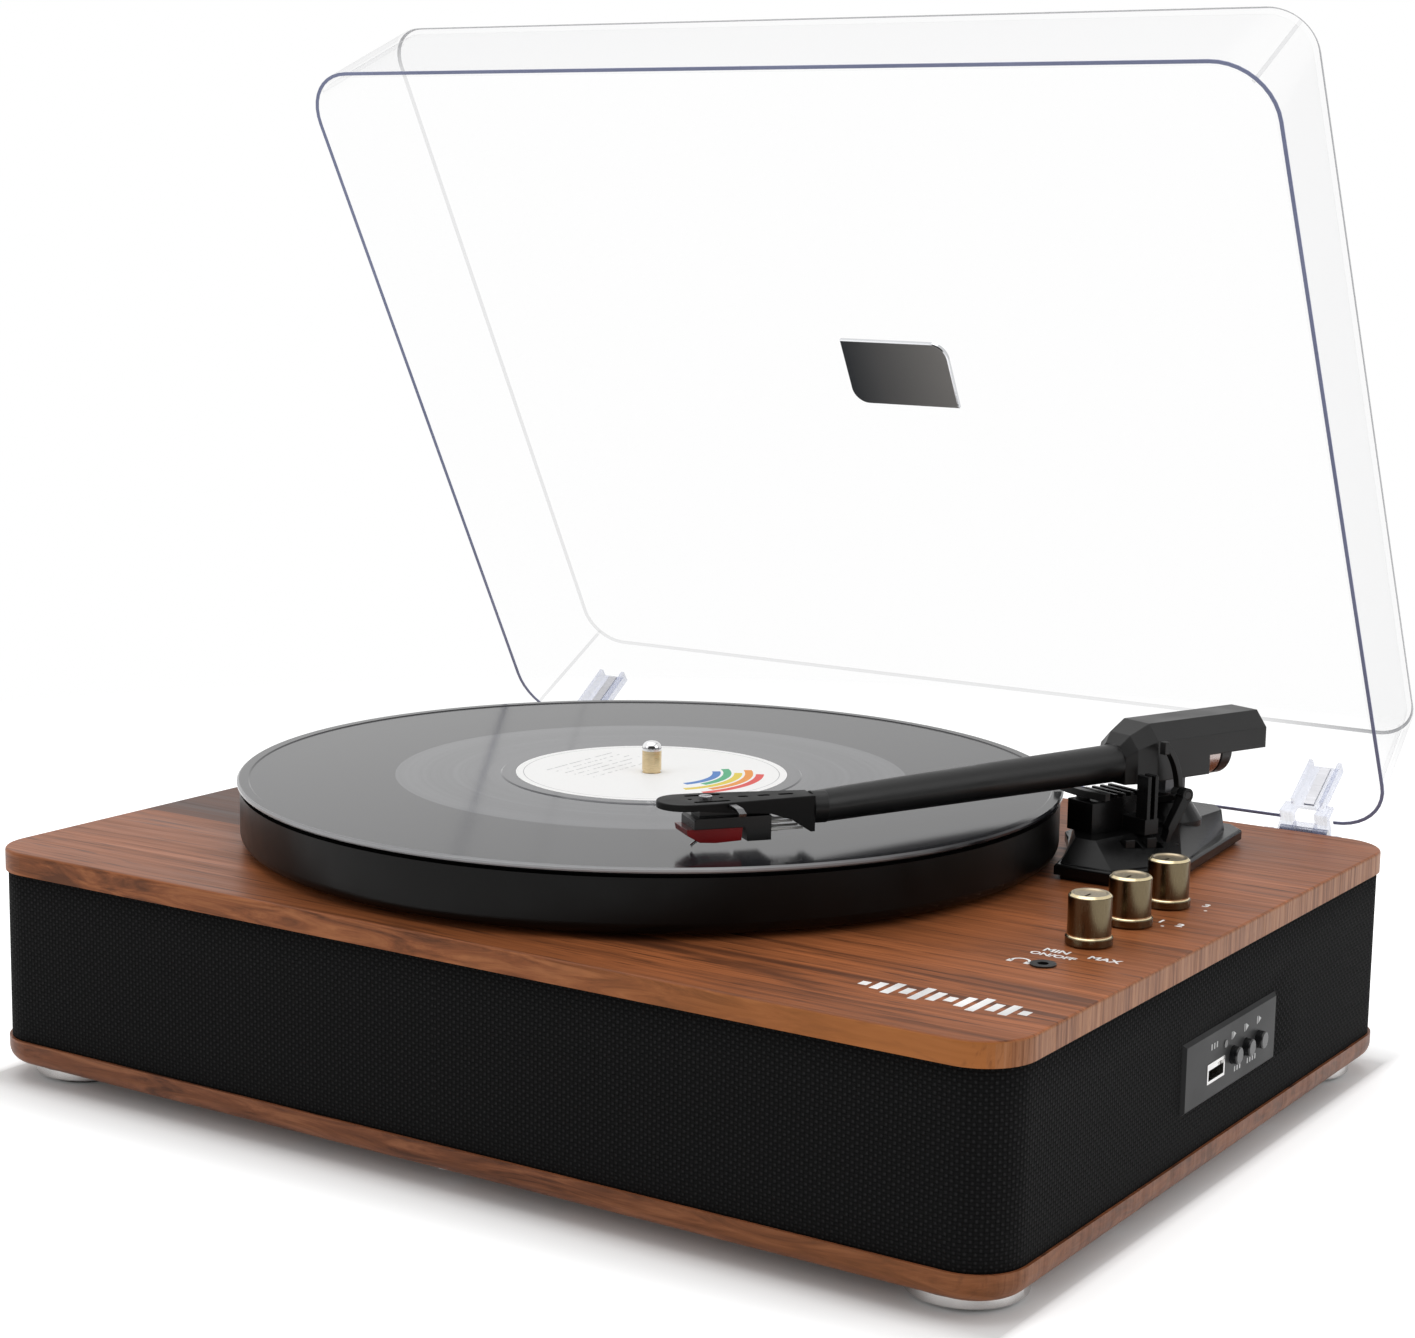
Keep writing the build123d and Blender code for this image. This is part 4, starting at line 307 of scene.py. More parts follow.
def cloth_material():
    """Black plain weave: over-and-under threads in UV space, with lint, and painted shade in the hollows
    between threads.
    """
    thread_u = 0.00155
    thread_v = 0.00125
    s = Shade("grille_weave", (0.012, 0.012, 0.0125), 0.9, Specular_IOR_Level=0.12)
    u, v, _ = s.parts(s.stretch(s.place("UV"), (1 / thread_u, 1 / thread_v, 1)))
    wobble = s.noise(s.stretch(s.place("UV"), (160, 160, 1)), 1.0, 2.0)
    u = s.calc("ADD", u, s.calc("MULTIPLY", wobble, 0.5))
    v = s.calc("ADD", v, s.calc("MULTIPLY", wobble, 0.4))
    over = s.calc("MODULO", s.calc("ADD", s.calc("FLOOR", u), s.calc("FLOOR", v)), 2.0)
    across = s.calc("ABSOLUTE", s.calc("SINE", s.calc("MULTIPLY", u, math.pi)))
    along = s.calc("ABSOLUTE", s.calc("SINE", s.calc("MULTIPLY", v, math.pi)))
    warp = s.calc("MULTIPLY", across, s.calc("ADD", s.calc("MULTIPLY", along, 0.55), 0.45))
    weft = s.calc("MULTIPLY", along, s.calc("ADD", s.calc("MULTIPLY", across, 0.2), 0.35))
    under = s.calc("SUBTRACT", 1.0, over)
    height = s.calc("ADD", s.calc("MULTIPLY", over, warp), s.calc("MULTIPLY", under, weft))
    lint = s.noise(s.stretch(s.place("UV"), (900, 2400, 1)), 1.0, 2.0)
    # Painted shade: the colour runs from near black where the weave lies low to dark grey on the raised
    # threads.
    shade = s.calc("ADD", height, s.calc("MULTIPLY", s.calc("SUBTRACT", lint, 0.5), 0.5))
    s.put("Base Color", s.ramp(shade, (0.0, (0.0015, 0.0015, 0.0015)), (0.55, (0.006, 0.006, 0.0062)),
                               (1.0, (0.020, 0.020, 0.0205))))
    s.bump(height, 0.8, 0.0006)
    return s.mat


def vinyl_material():
    """Pressed vinyl: fine grooves, quiet bands between tracks, a paler inner band and a painted highlight
    along the front of the rim.
    """
    inner_r = 0.094
    lead_out_r = 0.0605
    rim_in_r = 0.1500
    rim_out_r = 0.1505
    s = Shade("record_vinyl", (0.012, 0.012, 0.013), 0.2)
    r, angle, _, _ = around(s, SPINDLE)
    groove = s.noise(s.join(s.calc("MULTIPLY", r, 2600.0), 0.0), 1.0, 2.0)
    band = s.noise(s.join(s.calc("MULTIPLY", r, 420.0), 3.7), 1.0, 3.0, 0.7)
    inner = s.calc("LESS_THAN", r, inner_r)
    lead = s.calc("LESS_THAN", r, lead_out_r)
    tone = s.span(band, 0.35, 0.7, 0.85, 1.2)
    base = s.mix(inner, (0.012, 0.012, 0.0145), (0.062, 0.063, 0.07))
    # Painted highlight: a thin pale grey line at the rim's outer edge, strongest across the front of the
    # record.
    front_rim_painted_highlight = s.calc("MULTIPLY", s.span(r, rim_in_r, rim_out_r), s.span(s.calc("SINE", angle), -0.2, -0.75))
    base = s.mix(s.calc("MULTIPLY", front_rim_painted_highlight, s.span(band, 0.2, 0.8, 0.7, 1.0)), base, (0.42, 0.42, 0.43))
    s.put("Base Color", s.mix(1.0, base, s.join(tone, tone, tone), "MULTIPLY"))
    rough = s.mix(inner, s.span(band, 0.3, 0.7, 0.13, 0.16), s.span(band, 0.3, 0.7, 0.10, 0.13))
    s.put("Roughness", s.calc("SUBTRACT", rough, s.calc("MULTIPLY", lead, 0.04)))
    fine = s.mix(0.35, band, groove)
    outer_shine = s.span(fine, 0.3, 0.7, 0.27, 0.31)
    inner_shine = s.span(fine, 0.3, 0.7, 0.36, 0.58)
    s.put("Specular IOR Level", s.mix(inner, outer_shine, inner_shine))
    s.bump(s.calc("ADD", groove, s.calc("MULTIPLY", band, s.span(inner, 0.0, 1.0, 0.15, 0.8))), 0.02, 0.0003)
    return s.mat


def label_material():
    """White paper label with a print of its own: colour arcs on one side, thin grey rules on the other."""
    arc_wide = 0.003
    rule_pitch = 0.0042
    color = (0.96, 0.957, 0.948)
    s = Shade("label_print", color, 0.55)
    r, angle, x, y = around(s, SPINDLE)
    for low, start, end, ink in (
        (0.0385, -0.50, 0.55, (0.75, 0.06, 0.05)),
        (0.0345, -0.35, 0.75, (0.85, 0.30, 0.03)),
        (0.0305, -0.60, 0.60, (0.80, 0.62, 0.05)),
        (0.0265, -0.25, 0.85, (0.06, 0.42, 0.20)),
        (0.0225, -0.45, 0.70, (0.05, 0.20, 0.55)),
    ):
        inside = s.calc("MULTIPLY", s.between(r, low, low + arc_wide), s.between(angle, start, end))
        color = s.mix(inside, color, ink)
    rules = s.calc("GREATER_THAN", s.calc("SINE", s.calc("MULTIPLY", x, 2 * math.pi / rule_pitch)), 0.86)
    broken = s.calc("GREATER_THAN", s.noise(s.stretch(s.place(), (240, 520, 1)), 1.0, 1.0), 0.46)
    field = s.calc("MULTIPLY", s.between(x, -0.036, -0.011), s.between(y, -0.021, 0.021))
    printed = s.calc("MULTIPLY", s.calc("MULTIPLY", rules, broken), s.calc("MULTIPLY", field, 0.55))
    color = s.mix(printed, color, (0.25, 0.25, 0.26))
    color = s.mix(s.between(r, 0.0470, 0.0473), color, (0.45, 0.45, 0.46))
    fibre = s.noise(s.place(), 1400.0, 3.0)
    color = s.mix(s.span(fibre, 0.3, 0.75, 0.0, 0.08), color, (0.62, 0.60, 0.55))
    s.put("Base Color", color)
    s.bump(fibre, 0.05, 0.0002)
    return s.mat


def spindle_material():
    """Brass shaft with a chromed dome."""
    dome_foot = RECORD_TOP + 0.0082
    s = Shade("spindle_two_tone", (0.75, 0.6, 0.36), 0.18, 1.0)
    _, _, z = s.parts(s.place())
    cap = s.calc("GREATER_THAN", z, dome_foot)
    line = s.noise(s.stretch(s.place(), (40, 40, 5200)), 1.0, 2.0)
    s.put("Base Color", s.mix(cap, s.mix(line, (0.62, 0.47, 0.26), (0.86, 0.70, 0.45)), (0.86, 0.86, 0.87)))
    s.put("Roughness", s.calc("SUBTRACT", s.span(line, 0.3, 0.7, 0.2, 0.32), s.calc("MULTIPLY", cap, 0.14)))
    s.bump(line, 0.04, 0.0002)
    return s.mat


def cover_edge_painted_light(s):
    """How much of the cover's moulded top edge shows as a painted line of refracted light: strong at the
    front and right, faint elsewhere, with a faint line down each rounded corner.
    """
    top_half_w = 0.196
    top_half_d = 0.153
    top_corner = 0.017
    line_wide = 0.0013
    line_foot = 0.0494
    corner_line_half = 0.0010
    corner_line_top = 0.0485
    away = s.vector("SUBTRACT", s.place(), tuple(HINGE))
    x = s.parts(away)[0]
    y = s.calc("ADD", s.vector("DOT_PRODUCT", away, tuple(LID_BACK)), LID_HALF_D)
    z = s.vector("DOT_PRODUCT", away, tuple(LID_UP))
    a = s.calc("SUBTRACT", s.calc("ABSOLUTE", x), top_half_w - top_corner)
    b = s.calc("SUBTRACT", s.calc("ABSOLUTE", y), top_half_d - top_corner)
    out = s.vector("LENGTH", s.join(s.calc("MAXIMUM", a, 0.0), s.calc("MAXIMUM", b, 0.0)))
    within = s.calc("MINIMUM", s.calc("MAXIMUM", a, b), 0.0)
    gap = s.calc("SUBTRACT", s.calc("ADD", out, within), top_corner)
    # Painted line of refracted light along the top edge, made stronger at the front and right.
    line = s.calc("MULTIPLY", s.calc("GREATER_THAN", z, line_foot), s.calc("GREATER_THAN", gap, -line_wide))
    painted_line_strength = s.calc("MAXIMUM", s.span(x, 0.12, 0.19), s.span(y, -0.13, -0.15))
    corner_line = s.calc("LESS_THAN", s.calc("ABSOLUTE", s.calc("SUBTRACT", a, b)), corner_line_half)
    corner_line = s.calc("MULTIPLY", corner_line, s.calc("GREATER_THAN", s.calc("MINIMUM", a, b), 0.004))
    corner_line = s.calc("MULTIPLY", corner_line, s.calc("LESS_THAN", z, corner_line_top))
    shown = s.calc("MULTIPLY", line, s.span(painted_line_strength, 0.0, 1.0, 0.2, 0.75))
    return s.calc("MAXIMUM", shown, s.calc("MULTIPLY", corner_line, 0.12))


def clear(name, color, body, glance, edge=None):
    """Clear moulded acrylic: body is what it shows face on, glance what it gains at a slant."""
    s = Shade(name, color, 0.06, IOR=1.49)
    slant = s.node("ShaderNodeLayerWeight").outputs["Facing"]
    haze = s.noise(s.stretch(s.place(), (900, 60, 60)), 1.0, 3.0, 0.7)
    rise = s.calc("MULTIPLY", s.calc("POWER", slant, 7.0), glance)
    shown = s.calc("ADD", rise, s.span(haze, 0.5, 0.8, body, body * 1.6), True)
    # edge, where given, adds painted lines of light to the alpha.
    s.put("Alpha", s.calc("MAXIMUM", shown, edge(s)) if edge else shown)
    s.put("Roughness", s.span(haze, 0.55, 0.8, 0.04, 0.1))
    return s.mat


def painted_rim_line_material():
    """Cut edge of the acrylic: the blue-grey line of light gathered in it, painted on as colour."""
    s = Shade("cover_edge_painted_light", (0.23, 0.26, 0.4), 0.35, Specular_IOR_Level=0.2)
    painted_glow = s.noise(s.place(), 24.0, 3.0)
    # The painted line of light, a little uneven along the rim.
    s.put("Base Color", s.mix(s.span(painted_glow, 0.3, 0.7), (0.21, 0.235, 0.37), (0.26, 0.285, 0.43)))
    return s.mat


def knob_material(name, centre):
    """Antique brass: drawn sides, spun top, bright groove and rim."""
    groove_low = 0.0031
    groove_high = 0.0038
    rim_foot = 0.0163
    face_foot = 0.0164
    face_r = 0.0060
    s = Shade(name, (0.16, 0.11, 0.05), 0.22, 1.0)
    r, angle, _, _ = around(s, centre)
    _, _, z = s.parts(s.place())
    height = s.calc("SUBTRACT", z, TOP_Z)
    groove = s.between(height, groove_low, groove_high)
    rim = s.calc("MULTIPLY", s.calc("GREATER_THAN", height, rim_foot), s.calc("GREATER_THAN", r, face_r))
    face = s.calc("MULTIPLY", s.calc("GREATER_THAN", height, face_foot), s.calc("LESS_THAN", r, face_r))
    drawn = s.noise(s.join(s.calc("MULTIPLY", angle, 60.0), s.calc("MULTIPLY", z, 300.0)), 1.0, 3.0)
    spun = s.noise(s.join(s.calc("MULTIPLY", r, 5200.0), 0.0), 1.0, 2.0)
    color = s.mix(s.span(drawn, 0.3, 0.75), (0.12, 0.094, 0.056), (0.20, 0.158, 0.095))
    color = s.mix(s.calc("ADD", groove, rim, True), color, (0.80, 0.67, 0.42))
    color = s.mix(face, color, (0.44, 0.37, 0.26))
    s.put("Base Color", color)
    s.put("Roughness", s.mix(face, s.span(drawn, 0.3, 0.7, 0.16, 0.28), s.span(spun, 0.3, 0.7, 0.22, 0.4)))
    s.bump(s.mix(face, drawn, spun), 0.06, 0.0002)
    return s.mat


def board_material():
    """Circuit board: green mask with copper traces."""
    s = Shade("board_mask", (0.02, 0.13, 0.05), 0.35)
    here = s.stretch(s.place(), (130, 130, 130))
    cells = s.node("ShaderNodeTexVoronoi", feature="DISTANCE_TO_EDGE", distance="MANHATTAN")
    s.feed(cells.inputs["Vector"], here)
    trace = s.calc("LESS_THAN", cells.outputs[0], 0.06)
    s.put("Base Color", s.mix(trace, (0.015, 0.11, 0.045), (0.05, 0.24, 0.09)))
    s.bump(trace, 0.2, 0.0001)
    return s.mat


def cone_material():
    """Pressed paper cone with fibres."""
    s = Shade("cone_fibre", (0.03, 0.03, 0.03), 0.8)
    fibre = s.noise(s.place(), 900.0, 4.0, 0.7)
    s.put("Base Color", s.mix(fibre, (0.015, 0.015, 0.015), (0.06, 0.058, 0.055)))
    s.bump(fibre, 0.3, 0.0004)
    return s.mat


def panel_material():
    """Side panel: grey satin face in a bevelled border painted darker as shade."""
    s = Shade("panel_face", (0.09, 0.09, 0.092), 0.4, Specular_IOR_Level=0.12)
    x, _, _ = s.parts(s.place())
    face = s.calc("GREATER_THAN", x, PANEL_FACE_X - 0.00005)
    spark = s.noise(s.place(), 3000.0, 2.0)
    cloud = s.noise(s.place(), 70.0, 2.0)
    grey = s.mix(s.span(cloud, 0.3, 0.7), (0.028, 0.028, 0.0287), (0.036, 0.036, 0.0367))
    # Painted shade: the bevelled border round the face gets a darker grey than the face.
    s.put("Base Color", s.mix(face, (0.014, 0.014, 0.0145), grey))
    s.put("Roughness", s.span(cloud, 0.3, 0.7, 0.36, 0.46))
    s.bump(spark, 0.06, 0.0003)
    return s.mat


def badge_material():
    """Dark gloss plate, painted paler towards its right end as a reflection, with a bright bevelled edge."""
    bevel_foot = 0.0468 + 0.00015
    s = Shade("badge_plate", (0.03, 0.032, 0.035), 0.12)
    depth = s.vector("DOT_PRODUCT", s.vector("SUBTRACT", s.place(), tuple(HINGE)), tuple(LID_UP))
    edge = s.calc("GREATER_THAN", depth, bevel_foot)
    s.put("Roughness", s.span(s.noise(s.place(), 80.0, 2.0), 0.3, 0.7, 0.1, 0.18))
    # Painted reflection: the plate goes from dark at its left end to pale grey at its right.
    plate = s.mix(s.span(s.parts(s.place())[0], -0.0185, 0.0285), (0.05, 0.054, 0.06), (0.27, 0.262, 0.25))
    s.put("Base Color", s.mix(edge, plate, (0.7, 0.71, 0.73)))
    s.put("Metallic", edge)
    return s.mat


def dress(material, *names):
    """Gives CAD nodes a material."""
    for name in names:
        mesh = nodes[name].data
        mesh.materials.clear()
        mesh.materials.append(material)


def piece(name, verts, faces, material, body, uvs=None, smooth=False):
    """A new mesh that rides on a CAD body."""
    mesh = bpy.data.meshes.new(name)
    mesh.from_pydata([tuple(v) for v in verts], [], faces)
    mesh.materials.append(material)
    if uvs:
        layer = mesh.uv_layers.new(name="UVMap")
        for loop in mesh.loops:
            layer.data[loop.index].uv = uvs[loop.vertex_index]
    for polygon in mesh.polygons:
        polygon.use_smooth = smooth
    made = bpy.data.objects.new(name, mesh)
    bpy.context.scene.collection.objects.link(made)
    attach(made, body)
    return made


def rounded(half_w, half_d, radius, steps=12):
    """Points round a rectangle with rounded corners, counter-clockwise from the middle of the front."""
    points = [(0.0, -half_d)]
    for cx, cy, start in ((1, -1, -90), (1, 1, 0), (-1, 1, 90), (-1, -1, 180)):
        for i in range(steps + 1):
            a = math.radians(start + 90 * i / steps)
            x = cx * (half_w - radius) + radius * math.cos(a)
            y = cy * (half_d - radius) + radius * math.sin(a)
            points.append((x, y))
    return points


def make_cloth(material):
    """The woven cloth round the cabinet: a thin closed band with a window at each panel."""
    half_w, half_d, thick = CLOTH_HALF_W, CLOTH_HALF_D, CLOTH_THICK
    low, high = BOTTOM_TOP, UNDER_TOP
    path = rounded(half_w, half_d, CLOTH_CORNER)
    inner = rounded(half_w - thick, half_d - thick, CLOTH_CORNER - thick)
    # Each window: its side, middle and width along that side, and its middle and height upright
    windows = [("right", 0.0068, 0.0776, PANEL_Z, 0.0239), ("back", -0.098, 0.096, REAR_Z, 0.034)]
    stops, total = [], 0.0
    closed = path + [path[0]]
    closed_in = inner + [inner[0]]
    for i in range(len(closed) - 1):
        a, b = Vector(closed[i]), Vector(closed[i + 1])
        ai, bi = Vector(closed_in[i]), Vector(closed_in[i + 1])
        length = (b - a).length
        cuts = {0.0}
        if length > 0.05:
            for side, mid, wide, _, _ in windows:
                line, axis = (0, 1) if side == "right" else (1, 0)
                edge = half_w if side == "right" else half_d
                if abs(a[line] - edge) < 1e-6 and abs(b[line] - edge) < 1e-6:
                    for end in (mid - wide / 2, mid + wide / 2):
                        cuts.add((end - a[axis]) / (b[axis] - a[axis]))
            cuts |= {k / 8 for k in range(1, 8)}
        for t in sorted(cuts):
            stops.append((a.lerp(b, t), ai.lerp(bi, t), total + length * t))
        total += length
    stops.append((Vector(closed[0]), Vector(closed_in[0]), total))
    levels = sorted({low, high} | {m + k * h / 2 for _, _, _, m, h in windows for k in (-1, 1)})
    verts, uvs, outer, back = [], [], {}, {}
    for i, (p, q, s) in enumerate(stops):
        for j, z in enumerate(levels):
            outer[i, j] = len(verts)
            verts.append((p.x, p.y + PLINTH_Y, z))
            uvs.append((s, z))
            back[i, j] = len(verts)
            verts.append((q.x, q.y + PLINTH_Y, z))
            uvs.append((s, z))

    def open_at(i, j):
        mid = (stops[i][0] + stops[i + 1][0]) / 2
        z = (levels[j] + levels[j + 1]) / 2
        for side, centre, wide, height, tall in windows:
            along = mid.y if side == "right" else mid.x
            on = mid.x > half_w - 1e-6 if side == "right" else mid.y > half_d - 1e-6
            if on and abs(along - centre) < wide / 2 and abs(z - height) < tall / 2:
                return True
        return False

    count, rows = len(stops) - 1, len(levels) - 1
    solid = {(i, j) for i in range(count) for j in range(rows) if not open_at(i, j)}
    faces, area = [], 0.0
    for i, j in solid:
        faces.append((outer[i, j], outer[i + 1, j], outer[i + 1, j + 1], outer[i, j + 1]))
        faces.append((back[i, j], back[i, j + 1], back[i + 1, j + 1], back[i + 1, j]))
        area += (stops[i + 1][2] - stops[i][2]) * (levels[j + 1] - levels[j])
        for di, dj, a, b in ((0, -1, (i + 1, j), (i, j)), (0, 1, (i, j + 1), (i + 1, j + 1)),
                             (-1, 0, (i, j), (i, j + 1)), (1, 0, (i + 1, j + 1), (i + 1, j))):
            if ((i + di) % count, j + dj) not in solid:
                faces.append((outer[a], outer[b], back[b], back[a]))
    made = piece("cloth_weave", verts, faces, material, "cabinet", uvs, True)
    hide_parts("grille_cloth")


def on_lid(x, y, z):
    """A point of the cover's own frame: x across, y back from the hinge, z up from the rim."""
    return HINGE + Vector((x, 0, 0)) + LID_BACK * y + LID_UP * z


def make_painted_rim_line(material):
    """The cover's cut edge as a thin band on the rim, which carries the painted blue-grey line of light, left
    out over the hinges.
    """
    wide = 0.0013
    top, foot = -0.00003, -0.0004
    back_edge = LID_HALF_D - 0.001
    corner_steps = 10
    out = rounded(LID_HALF_W, LID_HALF_D, LID_CORNER, corner_steps)
    inn = rounded(LID_HALF_W - wide, LID_HALF_D - wide, LID_CORNER - wide, corner_steps)
    fine_out, fine_in = [], []
    for i in range(len(out)):
        a, b = Vector(out[i]), Vector(out[(i + 1) % len(out)])
        c, d = Vector(inn[i]), Vector(inn[(i + 1) % len(inn)])
        cuts = {0.0}
        if a.y > back_edge and b.y > back_edge and (a - b).length > 0.1:
            for x in (-HINGE_X, HINGE_X):
                for end in (-HINGE_HALF_GAP, HINGE_HALF_GAP):
                    cuts.add((x + end - a.x) / (b.x - a.x))
        for t in sorted(cuts):
            fine_out.append(a.lerp(b, t))
            fine_in.append(c.lerp(d, t))
    verts, faces = [], []
    for p, q in zip(fine_out, fine_in):
        for v, z in ((p, top), (p, foot), (q, foot), (q, top)):
            verts.append(on_lid(v.x, v.y - LID_HALF_D, z))
    count = len(fine_out)
    for i in range(count):
        k = (i + 1) % count
        mid = (fine_out[i] + fine_out[k]) / 2
        if mid.y > back_edge and abs(abs(mid.x) - HINGE_X) < HINGE_HALF_GAP:
            continue
        for n in range(4):
            m = (n + 1) % 4
            faces.append((4 * i + n, 4 * i + m, 4 * k + m, 4 * k + n))
    piece("cover_rim_painted_line", verts, faces, material, "lid")


def flat_print(name, shapes, to_world, material, body, thick=0.00004):
    """Thin printed shapes: each is a list of (a, b) points, placed by to_world(a, b, height)."""
    verts, faces = [], []
    for shape in shapes:
        start, n = len(verts), len(shape)
        verts += [to_world(a, b, thick) for a, b in shape]
        verts += [to_world(a, b, 0.0) for a, b in shape]
        faces.append(tuple(range(start, start + n)))
        for i in range(n):
            k = (i + 1) % n
            faces.append((start + i, start + n + i, start + n + k, start + k))
    piece(name, verts, faces, material, body)


def bar(x, y, dx, dy, wide):
    """A straight stroke as four points."""
    run = Vector((dx, dy))
    side = Vector((-dy, dx)).normalized() * wide / 2
    p, q = Vector((x, y)), Vector((x, y)) + run
    return [tuple(p - side), tuple(q - side), tuple(q + side), tuple(p + side)]


def dot(x, y, radius, n=14):
    """A round spot."""
    angles = [2 * math.pi * i / n for i in range(n)]
    return [(x + radius * math.cos(a), y + radius * math.sin(a)) for a in angles]


def arc(x, y, radius, wide, start, end, n=10):
    """A curved stroke from start to end in degrees."""
    angles = [math.radians(start + (end - start) * i / n) for i in range(n + 1)]
    far, near = radius + wide / 2, radius - wide / 2
    outer = [(x + far * math.cos(a), y + far * math.sin(a)) for a in angles]
    return outer + [(x + near * math.cos(a), y + near * math.sin(a)) for a in reversed(angles)]


# Materials on the CAD nodes
dress(wood("walnut_top", (0.36, 0.116, 0.040), (0.055, 0.020, 0.011), (0.0, 0.0, 0.0), 1.0,
           (PLINTH_Y - 0.077, PLINTH_Y - 0.022)), "top_board")
dress(wood("walnut_bottom", (0.27, 0.090, 0.036), (0.035, 0.016, 0.012), (0.7, 0.31, 0.2), 0.4),
      "bottom_board")
dress(plastic("fibreboard_raw", (0.09, 0.07, 0.05), 0.9, 0.3, 700.0), "cabinet_frame")
dress(plastic("pad_rubber_grain", (0.018, 0.018, 0.018), 0.85, 0.2), "foot_pads")
feet_at = [Vector((x * FOOT_X, PLINTH_Y + y * FOOT_Y, 0)) for x in (-1, 1) for y in (-1, 1)]
dress(turned("foot_spun", (0.66, 0.65, 0.64), 0.2, feet_at), "feet")
dress(metal("screw_steel", (0.55, 0.55, 0.57), 0.3),
      "underside_screws", "hinge_screws", "hinge_pins", "pivot_pin", "headshell_screw")
dress(metal("basket_paint", (0.05, 0.05, 0.05), 0.5), "speaker_baskets")
dress(cone_material(), "speaker_cones")
dress(turned("bearing_turned", (0.62, 0.46, 0.22), 0.25, [SPINDLE]), "bearing_housing", "motor_pulley")
dress(metal("motor_plate", (0.55, 0.55, 0.56), 0.3, (30, 30, 2000)), "motor")
dress(plastic("belt_ground", (0.015, 0.015, 0.015), 0.8, 0.2), "drive_belt")
dress(plastic("base_satin", (0.0036, 0.0036, 0.0037), 0.24, 0.05, edge=0.0004, shine=0.2),
      "tonearm_base", "arm_rest", "switch_speed", "switch_stop")
dress(board_material(), "amplifier_board", "control_board", "panel_board")
dress(plastic("component_mould", (0.03, 0.03, 0.03), 0.5), "potentiometers")
dress(metal("jack_plate", (0.35, 0.33, 0.30), 0.3), "rca_jacks")
dress(plastic("jack_mould", (0.008, 0.008, 0.008), 0.3), "headphone_jack")
dress(panel_material(), "side_panel")
dress(plastic("rear_panel_mould", (0.03, 0.03, 0.031), 0.45), "rear_panel", "dc_inlet")
dress(metal("socket_shell", (0.72, 0.71, 0.70), 0.18, (2000, 40, 40)), "usb_socket")
dress(plastic("button_gloss", (0.012, 0.012, 0.013), 0.22, 0.02),
      "button_previous", "button_play", "button_next")
dress(plastic("platter_satin", (0.0024, 0.0022, 0.0020), 0.36, shine=0.15), "platter")
dress(plastic("mat_rubber", (0.012, 0.012, 0.012), 0.8, 0.3, 900.0), "platter_mat")
dress(spindle_material(), "spindle")
dress(vinyl_material(), "record")
dress(label_material(), "record_label")
dress(clear("cover_acrylic", (0.24, 0.25, 0.28), 0.005, 0.42, cover_edge_painted_light), "dust_cover")
dress(clear("hinge_acrylic", (0.46, 0.52, 0.76), 0.24, 0.9), "hinge_leaves", "hinge_bases")
dress(clear("lamp_smoked", (0.02, 0.02, 0.021), 0.9, 0.1), "led_lens")
dress(metal("spring_strip", (0.45, 0.45, 0.47), 0.3, (60, 2000, 60)), "hinge_springs")
dress(badge_material(), "lid_badge")
dress(metal("yoke_anodised", (0.10, 0.10, 0.105), 0.35), "arm_yoke")
dress(plastic("arm_satin", (0.0048, 0.0047, 0.0047), 0.38, 0.08, edge=0.0006, shine=0.40),
      "tonearm", "cue_lever")
dress(plastic("headshell_matt", (0.005, 0.005, 0.0051), 0.5, 0.12, edge=0.0003, shine=0.16), "headshell")
dress(metal("weight_turned", (0.50, 0.42, 0.40), 0.3), "counterweight")
dress(metal("finger_gunmetal", (0.17, 0.17, 0.175), 0.3, (60, 60, 1600), wear=0.2, edge=0.0003),
      "finger_lift")
dress(plastic("cartridge_mould", (0.004, 0.004, 0.0042), 0.3, 0.04, edge=0.0003, shine=0.35), "cartridge")
dress(plastic("stylus_red_mould", (0.17, 0.003, 0.004), 0.25, 0.03, edge=0.0003, shine=0.25), "stylus_holder")
dress(metal("pin_plate", (0.85, 0.85, 0.86), 0.15), "cantilever")
dress(plastic("lead_sleeve", (0.55, 0.54, 0.52), 0.35), "cartridge_pins")
dress(plastic("lift_satin", (0.008, 0.008, 0.0082), 0.35, shine=0.35), "lift_platform")
for knob, y in KNOBS.items():
    dress(knob_material(f"knob_{knob}_brass", Vector((KNOB_X, PLINTH_Y + y, 0))), f"knob_{knob}")

# Cloth and the cover's edge with its painted line of light
make_cloth(cloth_material())
make_painted_rim_line(painted_rim_line_material())

# Prints on the top board: plain lettering and figures at the knobs, a headphone sign, and a row of level bars
ink = plastic("print_white", (0.92, 0.91, 0.90), 0.5, 0.02)


def on_board(a, b, height):
    return (a, PLINTH_Y + b, TOP_Z + height)


def letters(text, size, x, y):
    """Triangles of plain upright lettering, centred on x with its foot at y."""
    curve = bpy.data.curves.new("letters", "FONT")
    curve.body, curve.size, curve.align_x, curve.offset = text, size, "CENTER", size * 0.03
    holder = bpy.data.objects.new("letters", curve)
    bpy.context.scene.collection.objects.link(holder)
    flat = bpy.data.meshes.new_from_object(holder)
    flat.calc_loop_triangles()
    points = [(x + vertex.co.x, y + vertex.co.y) for vertex in flat.vertices]
    shapes = [[points[i] for i in tri.vertices] for tri in flat.loop_triangles]
    bpy.data.objects.remove(holder)
    bpy.data.curves.remove(curve)
    bpy.data.meshes.remove(flat)
    return shapes


